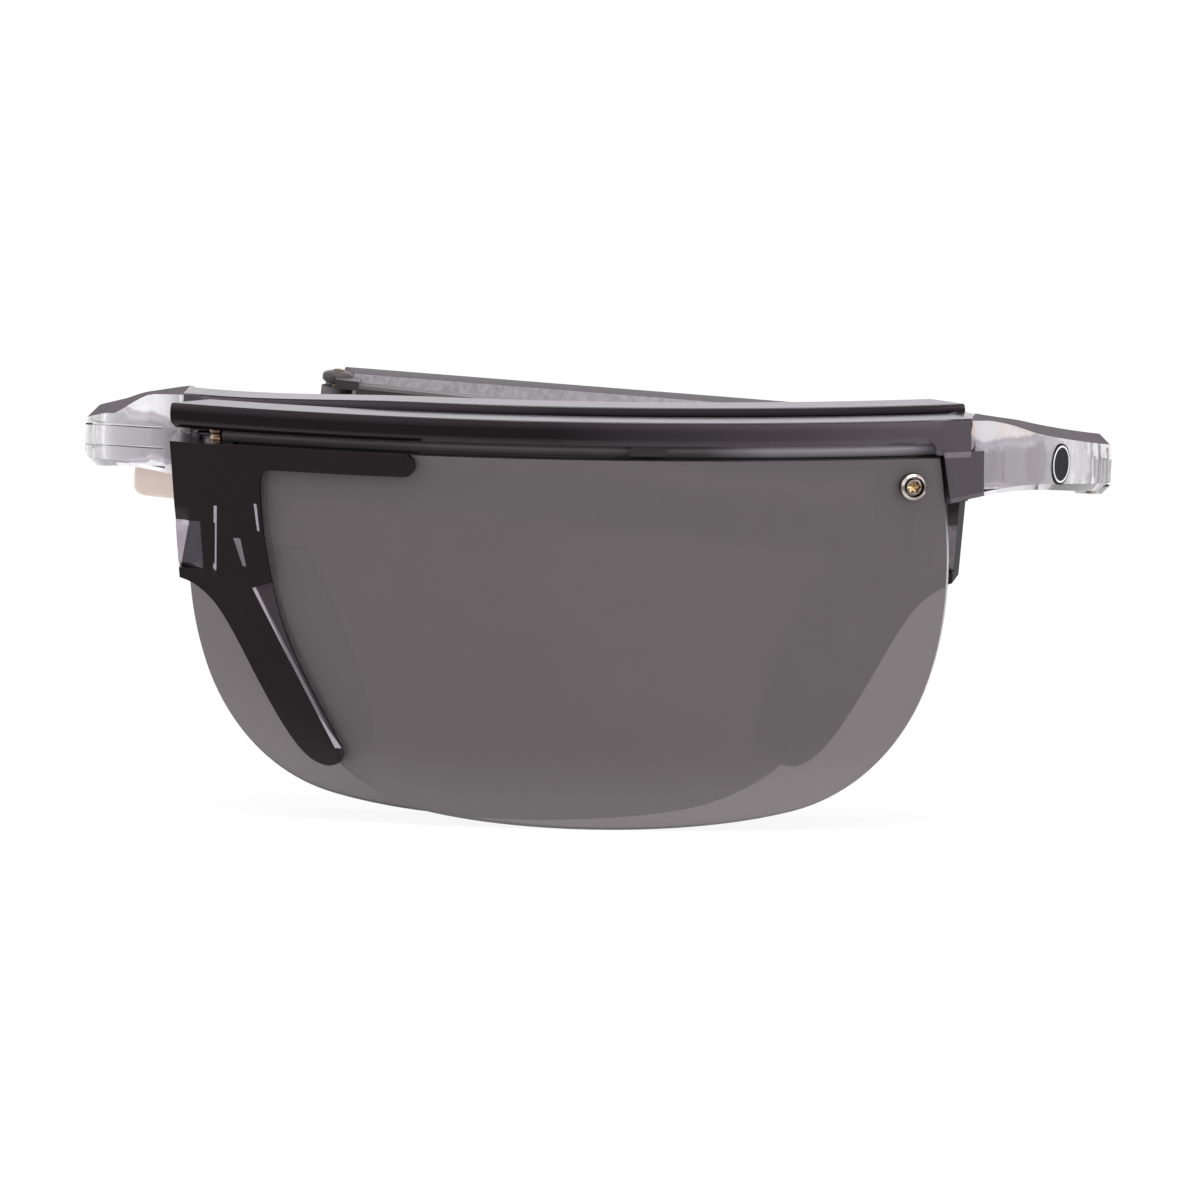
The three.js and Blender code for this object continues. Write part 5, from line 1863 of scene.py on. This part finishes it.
@dataclass
class Temple:
    """A temple in two halves that fold at a knuckle, with a soft tip."""

    half: Half
    palette: Palette
    thickness: float = 2.4 * MM
    height: float = 5.2 * MM
    edge: float = 0.25 * MM
    rounding: float = 0.12 * MM
    clearance: float = 0.5 * MM
    hinge_barrel: float = 2.0 * MM
    neck_inset: float = 0.3 * MM
    neck_lap: float = 0.4 * MM
    root_raise: float = 2.2 * MM
    root_share: Flat = (0.16, 0.4)
    blade_fall: float = 0.8 * MM
    blade_steps: int = 25
    clear_root: float = 16 * MM
    inner_lean: float = 0.99
    top_lean: float = 0.6
    fold_gap: float = 0.6 * MM
    fold_pin: float = 0.5 * MM
    pin_play: float = 0.1 * MM
    pin_head: float = 0.12 * MM
    knuckle_height: float = 4.4 * MM
    knuckle_radius: float = 1.4 * MM
    knuckle_barrel: float = 1.5 * MM
    knuckle_dome: float = 0.45 * MM
    knuckle_gap: float = 0.3 * MM
    lug_gap: float = 0.2 * MM
    lug_lap: float = 0.2 * MM
    rear_length: float = 64.5 * MM
    rear_drop: float = 1.5
    tip_drop: float = 1.75 * MM
    tip_step: float = 4.5 * MM
    tip_length: float = 11.5 * MM
    tip_height: float = 3.4 * MM
    tip_thickness: float = 2.8 * MM
    tip_corner: float = 1.2 * MM
    tip_gap: float = 0.1 * MM
    tip_rounding: float = 0.35 * MM

    def __post_init__(self) -> None:
        """Takes the temple's places from its two joints."""
        self.name = "right" if self.half is Half.FRONT else "left"
        self.hinge_radius = End.of(self.half).radius
        fold = f"{self.name}_fold"
        hinge, knuckle = joint_point(self.half.hinge), joint_point(fold)
        up, out = joint_axis(fold), Arc(self.half).spun(0.0, 1.0, 0.0)
        along = out.cross(up) * -self.half.side
        self.front_length = (knuckle - hinge).dot(along)
        self.drop = (hinge - knuckle).dot(up)
        self.place = Matrix((along, out, up)).transposed().to_4x4()
        self.place.translation = hinge - up * self.drop
        self.offset = self.thickness + self.fold_gap
        self.pivot = Vector((self.front_length, self.offset / 2, 0.0))
        turn = Matrix.Rotation(math.radians(joint(fold)["range_deg"][0]), 4, "Z")
        self.place_rear = (self.place @ Matrix.Translation(self.pivot) @ turn @ Matrix.Translation(-self.pivot))
        self.hinge_axis = self.place.to_3x3().transposed() @ joint_axis(self.half.hinge)

    @property
    def tip_start(self) -> float:
        """Distance along the rear half from its knuckle to the soft tip."""
        return self.rear_length - self.tip_length

    def build(self) -> None:
        """Builds and dresses the temple's pieces."""
        self.build_front()
        self.build_pin()
        self.build_rear()
        self.build_tip()

    def finishes(self, inner: str, top: str) -> list[Material]:
        """A blade's clear nylon, and the finishes of its inner face and upper edge."""
        return [self.palette[key] for key in ("temple", inner, top)]

    def blade_ring(self, x: float, middle: Flat, half_height: float) -> list[Vector]:
        """A chamfered ring round a blade.

        Args:
            x: Place along the temple.
            middle: Middle of the ring, across and up.
            half_height: Half of the blade's height there.

        Returns:
            The ring's points.
        """
        y, z = middle
        e, half_width = self.edge, self.thickness / 2
        corners = [(half_width, half_height - e), (half_width - e, half_height), (e - half_width, half_height),
                   (-half_width, half_height - e), (-half_width, e - half_height), (e - half_width, -half_height),
                   (half_width - e, -half_height), (half_width, e - half_height)]
        return [Vector((x, y + a, z + b)) for a, b in corners]

    @staticmethod
    def block(low: Sequence[float], high: Sequence[float]) -> Object:
        """A plain block as a tool.

        Args:
            low: Its lowest corner.
            high: Its highest corner.

        Returns:
            The tool.
        """
        shaper = Shaper()
        low, high = Vector(low), Vector(high)
        bmesh.ops.create_cube(shaper.bm, size=1.0)
        shaper.place(Matrix.Translation((low + high) / 2) @ Matrix.Diagonal(high - low).to_4x4())
        return shaper.tool()

    def knuckle_rod(self, radius: float, ends: Flat, dome: float = 0.0) -> Object:
        """A round rod on the knuckle's axis."""
        return rod(self.pivot, UP, radius, ends, dome)

    def dress_inner(self, shaper: Shaper, beyond: float) -> None:
        """Gives a blade's inner face its own finish.

        Args:
            shaper: The blade's mesh.
            beyond: Distance from the hinge where the finish starts.
        """
        shaper.clean()
        for face in shaper.bm.faces:
            if face.normal.y < -self.inner_lean and face.calc_center_median().x > beyond:
                face.material_index = BladeSkin.INNER

    @staticmethod
    def dress(blade: Object, beyond: float, skin: BladeSkin, lean: float = -math.inf) -> None:
        """Gives one end of a blade, or only the upper edge there, its own finish.

        Args:
            blade: The blade, not yet at its place.
            beyond: Distance from the hinge where the finish starts.
            skin: The finish.
            lean: How far a face's normal has to point up to get it.
        """
        for polygon in blade.data.polygons:
            if polygon.normal.z > lean and polygon.center.x > beyond:
                polygon.material_index = skin

    def build_front(self) -> None:
        """Blade from hinge to knuckle, with the hinge's barrel and the knuckle's two lugs."""
        start = self.hinge_radius + self.clearance
        end = self.front_length - self.knuckle_radius - self.clearance
        width, lug_top = self.thickness / 2, self.knuckle_height / 2
        shaper = Shaper()
        rings = []
        for t in steps(self.blade_steps):
            eased = smoothstep((t - self.root_share[0]) / (self.root_share[1] - self.root_share[0]))
            lift, fall = lerp(self.root_raise / 2, 0.0, eased), self.blade_fall / 2 * eased
            rings.append(self.blade_ring(lerp(start, end, t), (0.0, lift - fall),
                                         lerp(self.height / 2, lug_top, t) - lift - fall))
        shaper.loft(rings)
        self.dress_inner(shaper, self.clear_root)
        blade = shaper.piece(f"{self.name}_temple_blade", *self.finishes("temple_inner", "temple_inner"))
        barrel = self.hinge_barrel / 2
        neck = barrel - self.neck_inset
        low = self.knuckle_barrel / 2 + self.lug_gap
        tools = [
            self.block((0.0, -width, self.drop - neck), (start + self.neck_lap, width, self.drop + neck)),
            rod(Vector((0.0, 0.0, self.drop)), self.hinge_axis, self.hinge_radius, (-barrel, barrel)),
        ]
        for a, b, flush in ((low, lug_top, lug_top - self.knuckle_dome), (-lug_top, -low, -low)):
            tools.append(self.block((end - self.lug_lap, -width, a), (self.front_length, self.offset / 2, flush)))
            tools.append(self.knuckle_rod(self.knuckle_radius, (a, b), self.knuckle_dome))
        carved(blade, tools, "UNION")
        self.dress(blade, end, BladeSkin.INNER)
        # Upward faces past the clear root get the darker inner colour: painted shade.
        self.dress(blade, self.clear_root, BladeSkin.TOP, self.top_lean)
        settle(blade, self.place)
        rounded(blade, self.rounding, 3)
        finish_piece(blade, f"{self.name}_temple", Slot.TEMPLE, f"{self.name}_temple_front")

    def build_pin(self) -> None:
        """The knuckle's pin with its rounded heads."""
        end = self.knuckle_height / 2 + self.pin_head
        pin = self.knuckle_rod(self.fold_pin, (-end, end), self.pin_head)
        pin.name = pin.data.name = f"{self.name}_knuckle_pin"
        # The pin is dark brass all over.
        pin.data.materials.append(self.palette["brass_dark"])
        settle(pin, self.place)
        finish_piece(pin, f"{self.name}_temple", Slot.STEEL, f"{self.name}_fold_pin")

    def rear_middle(self, along: float) -> float:
        """Height of the rear half's middle line, a distance along it from the knuckle."""
        step = smoothstep((along - self.tip_start + self.tip_step) / self.tip_step)
        return -along * math.tan(math.radians(self.rear_drop)) - self.tip_drop * step

    def build_rear(self) -> None:
        """Blade from the knuckle to the soft tip."""
        start, end = self.knuckle_radius + self.knuckle_gap, self.tip_start - self.tip_gap
        bend = end - self.tip_step
        stations = [*steps(9, start, bend), *steps(11, bend, end)[1:]]
        shaper = Shaper()
        shaper.loft([
            self.blade_ring(self.front_length - s, (self.offset, self.rear_middle(s)),
                            lerp(self.knuckle_height, self.tip_height, s / end) / 2)
            for s in stations])
        self.dress_inner(shaper, 0.0)
        blade = shaper.piece(f"{self.name}_temple_end_blade", *self.finishes("frost", "temple_top"))
        barrel = self.knuckle_barrel / 2
        carved(blade, [
            self.block((self.front_length - start - self.neck_lap, self.offset / 2, -barrel),
                       (self.front_length, self.offset + self.thickness / 2, barrel)),
            self.knuckle_rod(self.knuckle_radius, (-barrel, barrel)),
        ], "UNION")
        bore = self.knuckle_rod(self.fold_pin + self.pin_play, (-self.height, self.height))
        carved(blade, [bore], "DIFFERENCE")
        # The knuckle end and the upward faces get a darker grey: painted shade.
        self.dress(blade, self.front_length - start, BladeSkin.TOP)
        self.dress(blade, 0.0, BladeSkin.TOP, self.top_lean)
        settle(blade, self.place_rear)
        rounded(blade, self.rounding, 3)
        finish_piece(blade, f"{self.name}_temple_end", Slot.TEMPLE, f"{self.name}_temple_rear")

    def build_tip(self) -> None:
        """Soft block on the end of the temple."""
        near, far = self.front_length - self.tip_start, self.front_length - self.rear_length
        middle = self.rear_middle(self.tip_start)
        low, high, r = middle - self.tip_height / 2, middle + self.tip_height / 2, self.tip_corner
        outline = [(near, low), (far + r, low)]
        outline += bezier([outline[-1], (far + r / 3, low), (far, low + r / 3), (far, low + r)], 6)
        outline.append((far, high - r))
        outline += bezier([outline[-1], (far, high - r / 3), (far + r / 3, high), (far + r, high)], 6)
        outline.append((near, high))
        shaper = Shaper()
        shaper.plate(outline, self.offset - self.tip_thickness / 2, self.offset + self.tip_thickness / 2)
        piece = shaper.piece(f"{self.name}_soft_tip", self.palette["tip"])
        settle(piece, self.place_rear)
        rounded(piece, self.tip_rounding, 3)
        finish_piece(piece, f"{self.name}_temple_end", Slot.TIP, f"{self.name}_temple_tip")


@dataclass(frozen=True)
class SoftBox:
    """A square lamp that points at the sunglasses."""

    name: str
    place: Triple
    size: float
    power: float
    aim: Triple = (0.0, 0.0, 20 * MM)

    def build(self, scene: Scene) -> None:
        """Makes the lamp.

        Args:
            scene: Where it goes.
        """
        data = bpy.data.lights.new(self.name, "AREA")
        data.size = self.size
        data.energy = self.power
        lamp = bpy.data.objects.new(self.name, data)
        lamp.location = self.place
        lamp.rotation_euler = (Vector(self.aim) - Vector(self.place)).to_track_quat("-Z", "Y").to_euler()
        scene.collection.objects.link(lamp)


@dataclass
class Studio:
    """Floor, light and camera."""

    azimuth: float = 6.1
    elevation: float = 8.0
    roll: float = 0.45
    distance: float = 4800 * MM
    frame_width: float = 105.7 * MM
    sensor: float = 36.0
    aim: Flat = (3.15 * MM, 20.2 * MM)
    white: float = 1.0
    behind_glow: float = 1.08
    mirror_tint: Colour = (1.0, 0.96, 1.02)
    floor_size: float = 3.0
    floor_drop: float = 0.05 * MM
    floor_glow: float = 0.9
    floor_grey: float = 0.85
    lamps: tuple[SoftBox, ...] = (
        SoftBox("top_box", (0.05, -0.15, 0.9), 0.7, 5.0),
        SoftBox("left_box", (-0.8, -0.25, 0.35), 0.5, 2.5),
        SoftBox("right_box", (0.8, -0.45, 0.3), 0.5, 4.0))

    def build(self) -> None:
        """Makes the studio."""
        scene = bpy.context.scene
        scene.view_settings.view_transform = "Standard"
        self.build_world(scene)
        self.build_floor()
        for lamp in self.lamps:
            lamp.build(scene)
        self.build_camera(scene)

    def build_world(self, scene: Scene) -> None:
        """White behind the object, darker on the viewer's side, and plain grey as light.

        Args:
            scene: The scene that gets the world.
        """
        world = bpy.data.worlds.new("studio")
        scene.world = world
        world.use_nodes = True
        nodes = Nodes(world.node_tree)
        path = nodes.add("LightPath").outputs
        direction = nodes.add("SeparateXYZ", {0: nodes.add("TexCoord").outputs["Generated"]}).outputs
        height = nodes.add("MapRange", {"Value": direction["Z"], "From Min": -0.05, "From Max": 0.2,
                                        "To Min": 0.3, "To Max": 1.1}).outputs[0]
        behind = nodes.add("MapRange", {"Value": direction["Y"], "From Min": -0.4, "From Max": 0.2}).outputs[0]
        mirrored = nodes.add("Mix", {0: behind, 2: height, 3: self.behind_glow}).outputs[0]
        glossy = nodes.add("Mix", {0: path["Is Glossy Ray"], 2: 1.0, 3: mirrored}).outputs[0]
        strength = nodes.add("Mix", {0: path["Is Camera Ray"], 2: glossy, 3: self.white}).outputs[0]
        clear = nodes.add("Mix", {0: path["Is Transmission Ray"], 2: strength, 3: self.white}).outputs[0]
        tint = nodes.add("Mix", {0: path["Is Glossy Ray"], 6: (1.0, 1.0, 1.0, 1.0), 7: (*self.mirror_tint, 1.0)},
                         data_type="RGBA").outputs[2]
        nodes.feed(world.node_tree.nodes["Background"], {"Color": tint, "Strength": clear})

    def build_floor(self) -> None:
        """A wide pale floor that keeps a faint shadow."""
        shaper = Shaper()
        bmesh.ops.create_grid(shaper.bm, x_segments=2, y_segments=2, size=self.floor_size)
        shaper.place(Matrix.Translation((0.0, 0.0, -self.floor_drop)))
        shaper.piece("floor", self.floor_finish())

    def floor_finish(self) -> Material:
        """White to the eye and to light through clear parts, a painted reflection in glossy rays that dims towards
        the viewer's side, and a matt grey that takes shadows under it.

        Returns:
            The material.
        """
        material = bpy.data.materials.new("pale_floor")
        material.use_nodes = True
        nodes = Nodes(material.node_tree)
        shader = material.node_tree.nodes["Principled BSDF"]
        nodes.feed(shader, {"Base Color": (*[self.floor_grey] * 3, 1.0), "Roughness": 0.9})
        path = nodes.add("LightPath").outputs
        ahead = nodes.add("SeparateXYZ", {0: nodes.add("TexCoord").outputs["Object"]}).outputs["Y"]
        mirrored = nodes.add("MapRange", {"Value": ahead, "From Min": -80 * MM, "From Max": -45 * MM,
                                          "To Min": 0.2, "To Max": 1.0}).outputs[0]
        strength = nodes.add("Mix", {0: path["Is Glossy Ray"], 2: self.white, 3: mirrored}).outputs[0]
        glow = nodes.add("Emission", {"Color": (1.0, 1.0, 1.0, 1.0), "Strength": strength})
        bounced = nodes.math("MAXIMUM", path["Is Glossy Ray"], path["Is Transmission Ray"])
        seen = nodes.math("MAXIMUM", path["Is Camera Ray"], bounced)
        share = nodes.math("MULTIPLY", seen, self.floor_glow)
        mix = nodes.add("MixShader", {0: share, 1: shader.outputs[0], 2: glow.outputs[0]})
        nodes.feed(material.node_tree.nodes["Material Output"], {"Surface": mix.outputs[0]})
        return material

    def build_camera(self, scene: Scene) -> None:
        """A long lens at the photograph's angle.

        Args:
            scene: The scene that gets the camera.
        """
        data = bpy.data.cameras.new("view")
        data.sensor_width = self.sensor
        data.lens = data.sensor_width * self.distance / self.frame_width
        camera = bpy.data.objects.new("view", data)
        a, e = math.radians(self.azimuth), math.radians(self.elevation)
        back = Vector((math.sin(a) * math.cos(e), -math.cos(a) * math.cos(e), math.sin(e)))
        turn = (-back).to_track_quat("-Z", "Y").to_matrix()
        target = Arc(Half.FRONT).bent(0.0, 0.0, 0.0) + turn @ Vector((*self.aim, 0.0))
        spin = Matrix.Rotation(math.radians(self.roll), 3, "Z")
        camera.matrix_world = Matrix.Translation(target + back * self.distance) @ (turn @ spin).to_4x4()
        scene.collection.objects.link(camera)
        scene.camera = camera


def main() -> None:
    """Builds the sunglasses and the studio."""
    logging.basicConfig(level=logging.INFO, format="%(name)s: %(message)s")
    palette = Palette()
    Studio().build()
    for half in Half:
        HalfFront(half, palette).build()
        Temple(half, palette).build()
    # The slider's darker colour is painted shade; the lens inserts are plain brass.
    for name, finish in (("rail_link", "link"), ("front_lens_insert", "brass"), ("rear_lens_insert", "brass")):
        bpy.data.objects[name].material_slots[0].material = palette[finish]
        LOG.info("%s keeps its shape", name)


if __name__ == "__main__":
    main()
